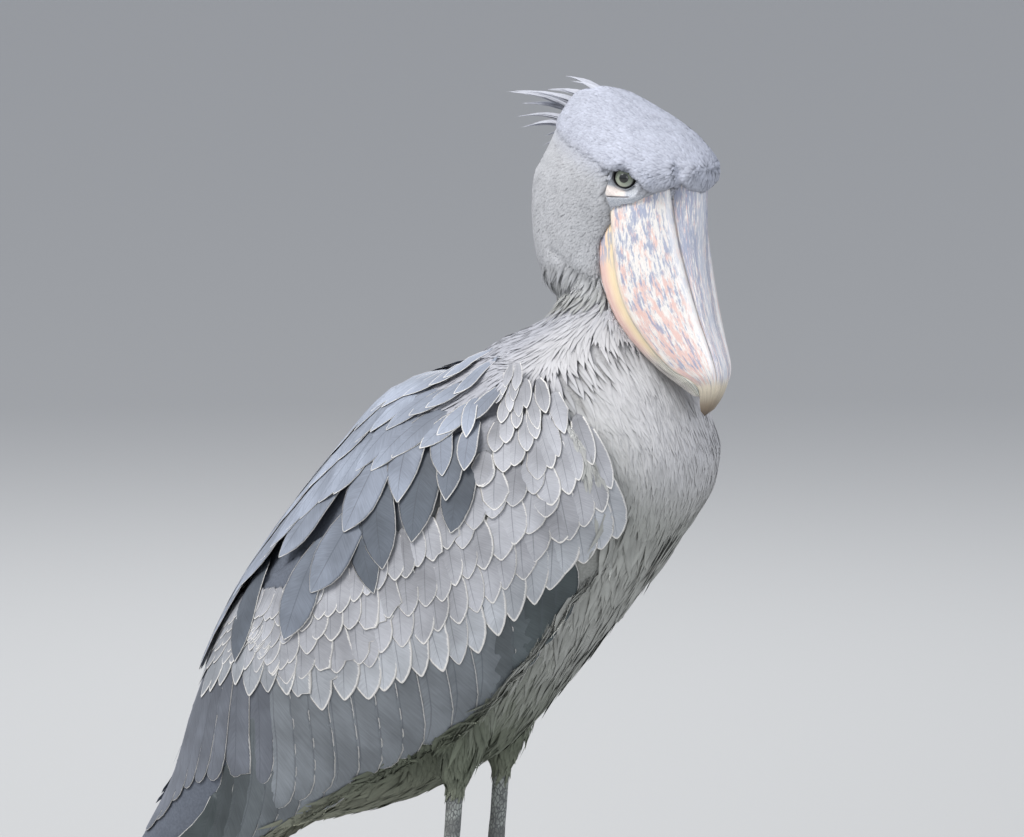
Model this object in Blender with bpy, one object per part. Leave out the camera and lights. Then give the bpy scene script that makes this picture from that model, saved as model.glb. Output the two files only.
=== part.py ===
# A shoebill standing hunched on both feet with its wings folded and its bill laid on its breast.
# Metres, +Z up, the bird faces +X and its left side is at +Y.
import math

import bmesh
import bpy
import numpy as np

# Driving dimensions
FORE = 0.058
GAP = 0.0003
HEAD_TURN = math.radians(-20.0)
BILL_DROP = math.radians(78.7)
BROW = (0.2458, -0.035, 0.9460)
LEG_HALF_GAP = 0.059
MIDDLE_TOE = 0.150
EYE_RADIUS = 0.0122
EYE_FORE = -0.0578
EYE_SIDE = 0.0446
EYE_RISE = 0.0168
EYE_TURN = math.radians(58.0)
WING_DEPTH_FRONT = 0.013
WING_DEPTH_TIP = 0.006
FLANK_ROUND = 1.75

# Stations of the body and neck from rump to throat:
# x, z, slope of the axis in degrees, reach above it, reach below it, half width, squareness below
TORSO = [
    (-0.285, 0.322, 40.0, 0.022, 0.028, 0.030, 2.0),
    (-0.235, 0.385, 46.0, 0.054, 0.102, 0.054, 2.0),
    (-0.170, 0.445, 49.0, 0.092, 0.150, 0.080, 2.0),
    (-0.100, 0.505, 50.0, 0.120, 0.168, 0.102, 2.1),
    (-0.035, 0.565, 50.0, 0.139, 0.160, 0.118, 2.2),
    (0.030, 0.628, 50.5, 0.147, 0.148, 0.123, 2.2),
    (0.113, 0.698, 52.0, 0.133, 0.127, 0.119, 2.2),
    (0.135, 0.745, 62.0, 0.113, 0.122, 0.110, 2.1),
    (0.140, 0.800, 74.0, 0.064, 0.071, 0.074, 2.0),
    (0.145, 0.840, 86.0, 0.050, 0.050, 0.052, 2.0),
    (0.140, 0.885, 92.0, 0.044, 0.040, 0.046, 2.0),
]
NECK_ROOT = (0.139, 0.778)
NECK_ROOT_SLOPE = math.radians(70.0)

# Stations of the folded wing from tip to shoulder, with the same columns
WING = [
    (-0.372, 0.240, 34.0, 0.008, 0.011, 0.014, 2.4),
    (-0.281, 0.301, 41.0, 0.058, 0.057, 0.050, 2.6),
    (-0.233, 0.357, 46.0, 0.086, 0.086, 0.073, 2.6),
    (-0.185, 0.411, 48.0, 0.111, 0.116, 0.096, 2.6),
    (-0.132, 0.466, 49.0, 0.131, 0.147, 0.117, 2.6),
    (-0.061, 0.526, 50.0, 0.153, 0.161, 0.136, 2.5),
    (-0.0065, 0.5825, 50.0, 0.159, 0.160, 0.144, 2.4),
    (0.0455, 0.641, 50.0, 0.158, 0.153, 0.144, 2.3),
    (0.113, 0.698, 52.0, 0.143, 0.142, 0.135, 2.3),
    (0.135, 0.745, 62.0, 0.125, 0.130, 0.119, 2.2),
]
# How far round from the back the wing's upper edge lies, in degrees, at each of those stations
WING_UPPER = [9.0, 0.7, 0.5, 0.4, 0.4, 3.0, 9.0, 18.0, 29.0, 38.0]
WING_LOWER = 142.0

# Level slices of the head from throat to crown:
# height over the brow point, front reach, back reach, half width, all in the head's own frame
HEAD = [
    (-0.118, -0.086, -0.140, 0.031),
    (-0.107, -0.076, -0.162, 0.0445),
    (-0.092, -0.066, -0.181, 0.0535),
    (-0.072, -0.059, -0.193, 0.0590),
    (-0.048, -0.052, -0.198, 0.0615),
    (-0.024, -0.036, -0.200, 0.0640),
    (-0.004, -0.010, -0.200, 0.0660),
    (0.011, 0.0055, -0.198, 0.0670),
    (0.025, 0.0085, -0.188, 0.0660),
    (0.039, -0.0025, -0.179, 0.0620),
    (0.053, -0.0205, -0.172, 0.0560),
    (0.066, -0.0450, -0.166, 0.0485),
    (0.079, -0.0740, -0.161, 0.0370),
    (0.0895, -0.098, -0.152, 0.0240),
]
HEAD_TOP = 0.0955
HEAD_FLOOR = -0.124

# Stations of the bill along the line from brow to nail:
# along, ridge height, ridge half width, groove depth, half width, height of the mouth
BILL_UPPER = [
    (-0.012, 0.001, 0.0195, -0.0195, 0.0490, -0.069),
    (-0.002, 0.000, 0.0200, -0.0205, 0.0520, -0.071),
    (0.012, -0.003, 0.0195, -0.022, 0.0535, -0.072),
    (0.030, -0.0068, 0.0185, -0.0225, 0.0540, -0.0738),
    (0.050, -0.0112, 0.0170, -0.0222, 0.0540, -0.0750),
    (0.075, -0.0132, 0.0148, -0.0208, 0.0530, -0.0750),
    (0.098, -0.0128, 0.0128, -0.0185, 0.0505, -0.0712),
    (0.120, -0.0120, 0.0112, -0.0155, 0.0460, -0.0635),
    (0.137, -0.0092, 0.0102, -0.0122, 0.0408, -0.0552),
    (0.151, -0.0062, 0.0100, -0.0092, 0.0355, -0.0475),
    (0.162, -0.0042, 0.0100, -0.0075, 0.0300, -0.0400),
    (0.171, -0.0042, 0.0092, -0.0080, 0.0235, -0.0300),
    (0.179, -0.0066, 0.0080, -0.0110, 0.0170, -0.0268),
    (0.187, -0.0112, 0.0066, -0.0155, 0.0128, -0.0290),
    (0.195, -0.0178, 0.0050, -0.0215, 0.0092, -0.0335),
    (0.202, -0.0258, 0.0032, -0.0285, 0.0055, -0.0370),
]
BILL_TIP = (0.2075, -0.0385)
# along, height of the chin line, half width
BILL_LOWER = [
    (0.004, -0.0900, 0.0455),
    (0.024, -0.1010, 0.0490),
    (0.046, -0.1050, 0.0500),
    (0.068, -0.1055, 0.0495),
    (0.088, -0.1025, 0.0480),
    (0.106, -0.0970, 0.0455),
    (0.125, -0.0870, 0.0415),
    (0.142, -0.0755, 0.0370),
    (0.158, -0.0640, 0.0310),
    (0.173, -0.0505, 0.0240),
    (0.187, -0.0395, 0.0130),
]
BILL_LOWER_TIP = (0.1905, -0.0348)
# Half section of the lower bill: share of the half width, share of the depth
LOWER_SECTION = [
    (0.0, 0.0), (0.55, 0.0), (1.0, 0.0), (1.02, 0.25), (1.01, 0.52), (0.96, 0.78),
    (0.86, 0.94), (0.70, 1.0), (0.48, 0.93), (0.25, 0.86), (0.0, 0.84),
]

# Tail from rump to tip: x, z, slope, half thickness above and below, half width, squareness
TAIL = [
    (-0.195, 0.345, 33.0, 0.011, 0.013, 0.034, 2.6),
    (-0.245, 0.314, 32.0, 0.009, 0.011, 0.043, 3.0),
    (-0.300, 0.279, 31.0, 0.0065, 0.0075, 0.050, 3.2),
    (-0.345, 0.251, 30.0, 0.0045, 0.005, 0.052, 3.2),
    (-0.377, 0.231, 30.0, 0.003, 0.003, 0.043, 3.0),
    (-0.390, 0.2225, 30.0, 0.002, 0.002, 0.024, 2.6),
]

# Leg stations down each limb: x, outward shift, z, half depth, half width
THIGH = [
    (0.000, -0.004, 0.500, 0.052, 0.034),
    (0.004, -0.010, 0.462, 0.047, 0.030),
    (0.006, -0.005, 0.432, 0.036, 0.0265),
    (0.006, -0.001, 0.405, 0.0245, 0.0220),
    (0.004, 0.000, 0.384, 0.0175, 0.0165),
    (0.0025, 0.000, 0.370, 0.0130, 0.0125),
]
TIBIA = [
    (0.0030, 0.000, 0.380, 0.0088, 0.0086),
    (0.0015, 0.000, 0.355, 0.0092, 0.0088),
    (-0.0015, 0.000, 0.318, 0.0090, 0.0086),
    (-0.0045, 0.001, 0.285, 0.0098, 0.0094),
    (-0.0060, 0.001, 0.268, 0.0125, 0.0118),
    (-0.0070, 0.001, 0.2545, 0.0140, 0.0130),
]
TARSUS = [
    (-0.0070, 0.001, 0.2535, 0.0140, 0.0130),
    (-0.0060, 0.001, 0.240, 0.0128, 0.0118),
    (-0.0035, 0.001, 0.222, 0.0098, 0.0090),
    (0.0005, 0.001, 0.180, 0.0088, 0.0078),
    (0.0060, 0.001, 0.120, 0.0086, 0.0078),
    (0.0110, 0.002, 0.070, 0.0092, 0.0086),
    (0.0150, 0.002, 0.038, 0.0112, 0.0108),
]
FOOT_ROOT = (0.0170, 0.002, 0.0375)
# Toes: name, heading in degrees away from the body's mid line, length, radius at the root
TOES = [
    ("inner", -17.0, 0.118, 0.0078),
    ("middle", 5.0, MIDDLE_TOE, 0.0084),
    ("outer", 29.0, 0.124, 0.0078),
    ("hind", 176.0, 0.056, 0.0074),
]
CLAW_LENGTH = 0.024
# Share of the claw's length and how far the claw has dropped there
CLAW_CURVE = [(0.07, 0.0), (0.22, -0.0008), (0.50, -0.0005), (0.78, 0.0012), (1.0, 0.0038)]

# Root and then the tips of each loose tuft behind the crown in the head's own frame: fore, side, rise
CRESTS = {
    "crest_nape": [
        (-0.152, 0.0, 0.053),
        (-0.240, 0.002, 0.0790),
        (-0.233, 0.012, 0.0655),
        (-0.219, -0.010, 0.0545),
        (-0.205, 0.008, 0.0445),
        (-0.222, -0.014, 0.0815),
    ],
    "crest_crown": [
        (-0.130, 0.0, 0.076),
        (-0.174, 0.006, 0.0985),
        (-0.157, -0.006, 0.0975),
    ],
}


def clear_scene():
    for thing in list(bpy.data.objects):
        bpy.data.objects.remove(thing, do_unlink=True)


def curve_through(rows, steps):
    """Smooth rows passing through every given row, with `steps` spans between neighbours."""
    rows = np.array(rows, dtype=float)
    ends = np.vstack([2 * rows[0] - rows[1], rows, 2 * rows[-1] - rows[-2]])
    out = []
    for k in range(1, len(ends) - 2):
        before, here, there, after = ends[k - 1], ends[k], ends[k + 1], ends[k + 2]
        for step in range(steps):
            u = step / steps
            slope_here = (there - before) / 2
            slope_there = (after - here) / 2
            out.append(
                (2 * u**3 - 3 * u**2 + 1) * here
                + (u**3 - 2 * u**2 + u) * slope_here
                + (3 * u**2 - 2 * u**3) * there
                + (u**3 - u**2) * slope_there
            )
    out.append(rows[-1])
    return np.array(out)


def bent_power(value, power):
    return math.copysign(abs(value) ** (2.0 / power), value)


def hull_point(row, turn, grow=0.0):
    """A point of a body section: turn 0 is the back, 180 degrees the underside."""
    x, z, slope, above, below, wide, square = row
    slope = math.radians(slope)
    power = 2.0 if math.cos(turn) > 0 else square
    side = (wide + grow) * bent_power(math.sin(turn), power)
    reach = (above if math.cos(turn) > 0 else below) + grow
    rise = reach * bent_power(math.cos(turn), power)
    return (x - rise * math.sin(slope), side, z + rise * math.cos(slope))


def to_world(points, turn=HEAD_TURN):
    """From the head's level frame at the brow point to the body's frame."""
    out = []
    for fore, side, rise in points:
        out.append((
            BROW[0] + fore * math.cos(turn) - side * math.sin(turn),
            BROW[1] + fore * math.sin(turn) + side * math.cos(turn),
            BROW[2] + rise,
        ))
    return out


def bill_point(along, side, height):
    """From the bill's frame, along the line from brow to nail, to the head's level frame."""
    fore = along * math.cos(BILL_DROP) + height * math.sin(BILL_DROP)
    rise = -along * math.sin(BILL_DROP) + height * math.cos(BILL_DROP)
    return (fore, side, rise)


def material(name, colour, rough):
    made = bpy.data.materials.new(name)
    made.use_nodes = True
    shader = made.node_tree.nodes["Principled BSDF"]
    shader.inputs["Base Color"].default_value = (*colour, 1.0)
    shader.inputs["Roughness"].default_value = rough
    return made


def solid(name, points, faces, look=None, hidden=False):
    """One closed body from points and faces, facing outward."""
    mesh = bpy.data.meshes.new(name)
    mesh.from_pydata([(x + FORE, y, z) for x, y, z in points], [], faces)
    work = bmesh.new()
    work.from_mesh(mesh)
    bmesh.ops.remove_doubles(work, verts=work.verts, dist=0.00001)
    bmesh.ops.triangulate(work, faces=work.faces)
    bmesh.ops.recalc_face_normals(work, faces=work.faces)
    if work.calc_volume(signed=True) < 0:
        bmesh.ops.reverse_faces(work, faces=work.faces)
    work.to_mesh(mesh)
    work.free()
    made = bpy.data.objects.new(name, mesh)
    bpy.context.collection.objects.link(made)
    if look is not None:
        mesh.materials.append(look)
    for face in mesh.polygons:
        face.use_smooth = True
    if hidden:
        made.hide_render = True
        made.display_type = "WIRE"
    return made


def loft(rings, start, end):
    """Points and faces of a body drawn through closed rings, with a pole at each end."""
    count = len(rings[0])
    points = [start]
    for ring in rings:
        points.extend(ring)
    points.append(end)
    faces = []
    for k in range(count):
        faces.append((0, 1 + (k + 1) % count, 1 + k))
    for r in range(len(rings) - 1):
        for k in range(count):
            a = 1 + r * count + k
            b = 1 + r * count + (k + 1) % count
            faces.append((a, b, b + count, a + count))
    last = 1 + (len(rings) - 1) * count
    for k in range(count):
        faces.append((last + k, last + (k + 1) % count, len(points) - 1))
    return points, faces


def cut(target, cutter, union=False):
    step = target.modifiers.new("join" if union else "part", "BOOLEAN")
    step.operation = "UNION" if union else "DIFFERENCE"
    step.solver = "EXACT"
    step.object = cutter


def hull_body(rows, sides, steps, grow=0.0, ends=0.5):
    """A body with one ring at each station and between them."""
    table = curve_through(rows, steps)
    rings = []
    for row in table:
        rings.append([hull_point(row, 2 * math.pi * k / sides, grow) for k in range(sides)])
    first, last = table[0], table[-1]
    poles = []
    for row, sign in ((first, -1.0), (last, 1.0)):
        slope = math.radians(row[2])
        reach = sign * (ends * row[3] + grow)
        poles.append((row[0] + reach * math.cos(slope), 0.0, row[1] + reach * math.sin(slope)))
    return loft(rings, poles[0], poles[1])


def half_space(name, at, slope, upper):
    """A hidden box lying above or below a tilted plane across the body."""
    along = (math.cos(slope), math.sin(slope))
    across = (-along[1], along[0])
    near = -GAP / 2 if upper else GAP / 2
    far = 1.0 if upper else -1.0
    corners = []
    for reach in (near, far):
        for lift in (-0.7, 0.7):
            for side in (-0.5, 0.5):
                corners.append((
                    at[0] + along[0] * reach + across[0] * lift,
                    side,
                    at[1] + along[1] * reach + across[1] * lift,
                ))
    faces = [(0, 1, 3, 2), (4, 6, 7, 5), (0, 4, 5, 1), (2, 3, 7, 6), (0, 2, 6, 4), (1, 5, 7, 3)]
    return solid(name, corners, faces, hidden=True)


def head_body(sides, grow=0.0):
    table = curve_through(HEAD, 1)
    rings = []
    for rise, front, back, wide in table:
        middle = (front + back) / 2
        reach = (front - back) / 2 + grow
        ring = []
        for k in range(sides):
            turn = 2 * math.pi * k / sides
            ring.append((middle + reach * math.cos(turn), (wide + grow) * math.sin(turn), rise))
        rings.append(to_world(ring))
    low, high = table[0], table[-1]
    start = to_world([((low[1] + low[2]) / 2, 0.0, HEAD_FLOOR - grow)])[0]
    end = to_world([((high[1] + high[2]) / 2, 0.0, HEAD_TOP + grow)])[0]
    return loft(rings, start, end)


def upper_section(row, grow):
    """Half outline of the upper bill from ridge to mouth, then across the palate."""
    along, ridge, keel, groove, wide, mouth = row
    half = []
    for k in range(3):
        turn = math.pi / 2 * k / 3
        half.append((keel * math.sin(turn), groove + (ridge - groove) * math.cos(turn)))
    for k in range(7):
        turn = math.pi / 2 * k / 6
        side = keel + (wide - keel) * math.sin(turn) ** (2 / FLANK_ROUND)
        half.append((side, groove + (mouth - groove) * (1 - math.cos(turn) ** (2 / FLANK_ROUND))))
    half.append((wide * 0.55, mouth))
    return [
        (along, side * (1 + grow / wide), height + grow * (1 if height > mouth else -1))
        for side, height in half
    ]


def closed_ring(half):
    """Mirror a half outline that starts on the mid line into a full ring."""
    left = list(half)
    right = [(along, -side, height) for along, side, height in reversed(half) if side > 1e-6]
    return [bill_point(*point) for point in left + right]


def upper_bill(grow=0.0):
    table = curve_through(BILL_UPPER, 1)
    rings = [to_world(closed_ring(upper_section(row, grow))) for row in table]
    start = to_world([bill_point(table[0][0] - 0.004 - grow, 0.0, -0.030)])[0]
    end = to_world([bill_point(BILL_TIP[0] + grow, 0.0, BILL_TIP[1] - grow)])[0]
    return loft(rings, start, end)


def lower_bill(grow=0.0):
    """The lower bill, a broad trough whose top follows the mouth of the upper bill."""
    places, chins, widths = zip(*BILL_LOWER)
    rings = []
    for row in BILL_UPPER[2:14]:
        along, mouth = row[0], row[5]
        chin = float(np.interp(along, places, chins))
        wide = float(np.interp(along, places, widths))
        top = mouth - GAP
        deep = top - chin
        half = [(wide * share, top - deep * drop) for share, drop in LOWER_SECTION]
        grown = [
            (along, side * (1 + grow / wide), height + (grow if height > chin + deep / 2 else -grow))
            for side, height in half
        ]
        full = [bill_point(*point) for point in grown]
        full += [bill_point(a, -s, h) for a, s, h in reversed(grown) if s > 1e-6]
        rings.append(to_world(full))
    start = to_world([bill_point(BILL_UPPER[2][0] - 0.006 - grow, 0.0, -0.084)])[0]
    end = to_world([bill_point(BILL_LOWER_TIP[0] + grow, 0.0, BILL_LOWER_TIP[1])])[0]
    return loft(rings, start, end)


def ball(centre, radius, sides, rows):
    rings = []
    for r in range(1, rows):
        lift = math.pi * r / rows
        rings.append([
            (
                centre[0] + radius * math.sin(lift) * math.cos(2 * math.pi * k / sides),
                centre[1] + radius * math.sin(lift) * math.sin(2 * math.pi * k / sides),
                centre[2] - radius * math.cos(lift),
            )
            for k in range(sides)
        ])
    low = (centre[0], centre[1], centre[2] - radius)
    high = (centre[0], centre[1], centre[2] + radius)
    return loft(rings, low, high)


def limb(rows, side, sides, steps, ends, grow=0.0):
    """A round limb of one side drawn down through its stations."""
    table = curve_through(rows, steps)
    rings = []
    for x, out, z, deep, wide in table:
        y = side * (LEG_HALF_GAP + out)
        rings.append([
            (
                x + (deep + grow) * math.cos(2 * math.pi * k / sides),
                y + (wide + grow) * math.sin(2 * math.pi * k / sides),
                z,
            )
            for k in range(sides)
        ])
    top, foot = table[0], table[-1]
    start = (top[0], side * (LEG_HALF_GAP + top[1]), top[2] + ends[0])
    end = (foot[0], side * (LEG_HALF_GAP + foot[1]), foot[2] - ends[1])
    return loft(rings, start, end)


def tube(path, radii, sides, flat=1.0):
    """A tapered round body along a path of points."""
    path = [np.array(point, dtype=float) for point in path]
    rings = []
    for k in range(1, len(path) - 1):
        run = path[k + 1] - path[k - 1]
        run /= np.linalg.norm(run)
        level = np.cross(run, (0.0, 0.0, 1.0))
        level /= np.linalg.norm(level)
        lift = np.cross(level, run)
        rings.append([
            tuple(
                path[k]
                + level * radii[k] * math.cos(2 * math.pi * n / sides)
                + lift * radii[k] * flat * math.sin(2 * math.pi * n / sides)
            )
            for n in range(sides)
        ])
    return loft(rings, tuple(path[0]), tuple(path[-1]))


def wing_patch(side, rows, columns):
    """The folded wing as a curved plate from the shoulder to the tip."""
    table = curve_through(WING, 16)
    uppers = np.interp(np.arange(len(table)) / 16, range(len(WING_UPPER)), WING_UPPER)
    outer = []
    inner = []
    for j in range(columns + 1):
        share = j / columns
        guess = math.radians(10.0 + (WING_LOWER - 10.0) * share)
        fade = max(0.0, (math.degrees(guess) - 85.0) / 65.0)
        front = 8.9 - 1.65 * fade**1.35
        tip = 0.10 + 0.55 * abs(share - 0.38) ** 1.5
        for i in range(rows + 1):
            place = front + (tip - front) * (i / rows) ** 0.92
            index = min(int(round(place * 16)), len(table) - 1)
            row = table[index]
            upper = math.radians(uppers[index])
            turn = upper + (math.radians(WING_LOWER) - upper) * share
            edge = min(share, 1 - share) * 2
            lip = min(1.0, 0.45 + 1.6 * edge, 0.45 + 2.2 * i / rows)
            along = 1 - i / rows
            thick = (WING_DEPTH_TIP + (WING_DEPTH_FRONT - WING_DEPTH_TIP) * along) * lip
            thick = min(thick, 0.42 * min(row[3], row[4], row[5]))
            x, y, z = hull_point(row, turn)
            outer.append((x, side * max(y, GAP), z))
            x, y, z = hull_point(row, turn, -thick)
            inner.append((x, side * max(y, GAP), z))
    points = outer + inner
    shift = len(outer)
    line = rows + 1
    faces = []
    for j in range(columns):
        for i in range(rows):
            a = j * line + i
            faces.append((a, a + 1, a + line + 1, a + line))
            faces.append((shift + a, shift + a + line, shift + a + line + 1, shift + a + 1))
    for i in range(rows):
        faces.append((i, shift + i, shift + i + 1, i + 1))
        a = columns * line + i
        faces.append((a, a + 1, shift + a + 1, shift + a))
    for j in range(columns):
        a = j * line
        faces.append((a, a + line, shift + a + line, shift + a))
        b = a + rows
        faces.append((b, shift + b, shift + b + line, b + line))
    return points, faces


def toe_path(side, heading, length, radius):
    """Centre line of one toe, with a raised knuckle between its pads."""
    turn = math.radians(heading)
    direction = (math.cos(turn), side * math.sin(turn))
    root = (FOOT_ROOT[0], side * (LEG_HALF_GAP + FOOT_ROOT[1]))
    shares = [-0.07, 0.0, 0.14, 0.28, 0.42, 0.58, 0.72, 0.985, 0.99]
    lifts = [0.0155, 0.0145, 0.0095, 0.0058, 0.0062, 0.0052, 0.0055, 0.0047, 0.0047]
    widths = [0.3, 1.05, 1.0, 0.92, 1.0, 0.80, 0.88, 0.64, 0.3]
    path = []
    radii = []
    for share, lift, width in zip(shares, lifts, widths):
        path.append((
            root[0] + direction[0] * share * length,
            root[1] + direction[1] * share * length,
            lift,
        ))
        radii.append(radius * width)
    return path, radii


def build():
    clear_scene()
    looks = {
        "plumage": material("plumage_grey", (0.33, 0.35, 0.38), 0.85),
        "wing": material("wing_grey", (0.25, 0.27, 0.31), 0.8),
        "pale": material("head_grey", (0.42, 0.43, 0.46), 0.85),
        "bill": material("bill_horn", (0.72, 0.62, 0.52), 0.45),
        "leg": material("leg_skin", (0.17, 0.18, 0.19), 0.6),
        "claw": material("claw_horn", (0.10, 0.09, 0.08), 0.4),
        "eye": material("eye_pale", (0.55, 0.60, 0.50), 0.1),
    }

    # Cutters that leave the gap between neighbours
    head_cutter = solid("cut_head", *head_body(22, GAP), hidden=True)
    upper_cutter = solid("cut_bill_upper", *upper_bill(GAP), hidden=True)
    lower_cutter = solid("cut_bill_lower", *lower_bill(GAP), hidden=True)
    torso_cutter = solid("cut_torso", *hull_body(TORSO, 26, 2, GAP), hidden=True)
    tail_cutter = solid("cut_tail", *hull_body(TAIL, 20, 1, GAP), hidden=True)
    above_neck_root = half_space("cut_above", NECK_ROOT, NECK_ROOT_SLOPE, True)
    below_neck_root = half_space("cut_below", NECK_ROOT, NECK_ROOT_SLOPE, False)

    # Trunk and neck are one loft parted at the root of the neck
    trunk = solid("trunk", *hull_body(TORSO, 26, 2), looks["plumage"])
    cut(trunk, above_neck_root)
    cut(trunk, lower_cutter)
    neck = solid("neck", *hull_body(TORSO, 26, 2), looks["pale"])
    cut(neck, below_neck_root)
    cut(neck, head_cutter)
    cut(neck, upper_cutter)
    cut(neck, lower_cutter)

    # Tail
    tail = solid("tail", *hull_body(TAIL, 20, 1), looks["wing"])
    cut(tail, torso_cutter)

    # Wings
    wings = {}
    for name, side in (("left", 1.0), ("right", -1.0)):
        wing = solid(f"wing_{name}", *wing_patch(side, 18, 9), looks["wing"])
        cut(wing, torso_cutter)
        cut(wing, tail_cutter)
        cut(wing, head_cutter)
        wings[name] = wing

    # Head and eyes
    head = solid("head", *head_body(22), looks["pale"])
    for name, side in (("left", 1.0), ("right", -1.0)):
        centre = (EYE_FORE, side * EYE_SIDE, EYE_RISE)
        look_way = (math.cos(EYE_TURN), side * math.sin(EYE_TURN), 0.0)
        place = to_world([centre])[0]
        solid(f"eye_{name}", *ball(place, EYE_RADIUS, 12, 7), looks["eye"])
        socket = solid(f"cut_socket_{name}", *ball(place, EYE_RADIUS + 1.5 * GAP, 12, 7), hidden=True)
        dish_at = tuple(centre[n] + look_way[n] * 0.0165 for n in range(3))
        dish = solid(
            f"cut_dish_{name}", *ball(to_world([dish_at])[0], 0.0140, 12, 7), hidden=True
        )
        cut(head, socket)
        cut(head, dish)
    cut(head, upper_cutter)
    cut(head, lower_cutter)

    # Crest of loose feathers
    for name, places in CRESTS.items():
        crest = None
        root = np.array(places[0])
        for number, tip in enumerate(places[1:]):
            end = np.array(tip)
            path = []
            for share in (0.0, 0.08, 0.4, 0.7, 0.9, 1.0):
                sag = 0.006 * math.sin(math.pi * share)
                path.append(tuple(root + (end - root) * share + np.array((0.0, 0.0, sag))))
            radii = [0.0, 0.011, 0.011, 0.008, 0.004, 0.0]
            lock = solid(
                name if crest is None else f"cut_{name}_{number}",
                *tube(to_world(path), radii, 6, 0.7),
                looks["pale"] if crest is None else None,
                hidden=crest is not None,
            )
            if crest is None:
                crest = lock
            else:
                cut(crest, lock, union=True)
        cut(crest, head_cutter)

    # Bill
    solid("bill_upper", *upper_bill(), looks["bill"])
    solid("bill_lower", *lower_bill(), looks["bill"])

    # Legs
    for name, side in (("left", 1.0), ("right", -1.0)):
        thigh = solid(
            f"thigh_{name}", *limb(THIGH, side, 14, 1, (0.02, 0.004)), looks["plumage"]
        )
        cut(thigh, torso_cutter)
        thigh_cutter = solid(
            f"cut_thigh_{name}", *limb(THIGH, side, 14, 1, (0.02, 0.004 + GAP), GAP), hidden=True
        )
        tibia = solid(f"tibia_{name}", *limb(TIBIA, side, 10, 1, (0.002, 0.0)), looks["leg"])
        cut(tibia, thigh_cutter)
        cut(wings[name], thigh_cutter)
        solid(f"tarsus_{name}", *limb(TARSUS, side, 10, 1, (0.0, 0.0)), looks["leg"])
        floor = solid(
            f"cut_floor_{name}",
            *limb([(0.0, 0.0, 0.0, 0.4, 0.4), (0.0, 0.0, -0.05, 0.4, 0.4)], side, 4, 1, (0, 0)),
            hidden=True,
        )
        foot = None
        for toe, heading, length, radius in TOES:
            path, radii = toe_path(side, heading, length, radius)
            made = solid(
                f"foot_{name}" if foot is None else f"toe_{toe}_{name}",
                *tube(path, radii, 8, 0.95),
                looks["leg"] if foot is None else None,
                hidden=foot is not None,
            )
            if foot is None:
                foot = made
            else:
                cut(foot, made, union=True)
            # Claw beyond the toe
            tip = np.array(path[-1])
            way = tip - np.array(path[-3])
            way[2] = 0.0
            way /= np.linalg.norm(way)
            claw_path = [tip + way * 2 * GAP]
            for share, drop in CLAW_CURVE:
                claw_path.append(tip + way * CLAW_LENGTH * share - np.array((0.0, 0.0, drop)))
            claw_radii = [0.0, 0.0043, 0.0046, 0.0035, 0.0020, 0.0]
            solid(
                f"claw_{toe}_{name}", *tube([tuple(p) for p in claw_path], claw_radii, 7),
                looks["claw"],
            )
        ankle = solid(
            f"cut_ankle_{name}",
            *limb(
                [(0.0165, 0.002, 0.0374, 0.0112, 0.0108), (0.0170, 0.002, 0.020, 0.0128, 0.0122),
                 (0.0175, 0.002, 0.012, 0.0110, 0.0105)],
                side, 12, 1, (0.0, 0.002),
            ),
            hidden=True,
        )
        cut(foot, ankle, union=True)
        cut(foot, floor)


build()
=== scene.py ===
import math

import bmesh
import bpy
import numpy as np
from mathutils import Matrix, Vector
from mathutils.bvhtree import BVHTree


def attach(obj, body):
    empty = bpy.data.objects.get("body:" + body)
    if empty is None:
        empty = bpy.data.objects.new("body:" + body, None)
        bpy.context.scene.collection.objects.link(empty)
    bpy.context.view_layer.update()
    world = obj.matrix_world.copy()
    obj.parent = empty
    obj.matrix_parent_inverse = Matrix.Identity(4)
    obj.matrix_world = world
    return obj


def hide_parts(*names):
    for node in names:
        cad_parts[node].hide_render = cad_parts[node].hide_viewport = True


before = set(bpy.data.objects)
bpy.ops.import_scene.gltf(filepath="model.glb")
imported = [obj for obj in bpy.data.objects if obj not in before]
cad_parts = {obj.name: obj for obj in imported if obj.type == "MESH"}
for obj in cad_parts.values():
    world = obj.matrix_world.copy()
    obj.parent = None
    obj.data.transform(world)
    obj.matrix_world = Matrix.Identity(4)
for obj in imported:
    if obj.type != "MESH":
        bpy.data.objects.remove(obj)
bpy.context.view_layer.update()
UPWARD = np.array((0.0, 0.0, 1.0))

# Placing of the head and bill, as in the solids
FORE = 0.058
HEAD_TURN = math.radians(-20.0)
BILL_DROP = math.radians(78.7)
BROW = (0.2458, -0.035, 0.9460)
LEG_HALF_GAP = 0.059
EYE_RADIUS = 0.0122
EYE_FORE = -0.0578
EYE_SIDE = 0.0446
EYE_RISE = 0.0168
EYE_TURN = math.radians(58.0)
FLANK_ROUND = 1.75

# Stations of the folded wing from tip to shoulder:
# x, z, slope of the axis in degrees, reach above it, reach below it, half width, squareness below
WING = [
    (-0.372, 0.240, 34.0, 0.008, 0.011, 0.014, 2.4),
    (-0.281, 0.301, 41.0, 0.058, 0.057, 0.050, 2.6),
    (-0.233, 0.357, 46.0, 0.086, 0.086, 0.073, 2.6),
    (-0.185, 0.411, 48.0, 0.111, 0.116, 0.096, 2.6),
    (-0.132, 0.466, 49.0, 0.131, 0.147, 0.117, 2.6),
    (-0.061, 0.526, 50.0, 0.153, 0.161, 0.136, 2.5),
    (-0.0065, 0.5825, 50.0, 0.159, 0.160, 0.144, 2.4),
    (0.0455, 0.641, 50.0, 0.158, 0.153, 0.144, 2.3),
    (0.113, 0.698, 52.0, 0.143, 0.142, 0.135, 2.3),
    (0.135, 0.745, 62.0, 0.125, 0.130, 0.119, 2.2),
]

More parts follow.
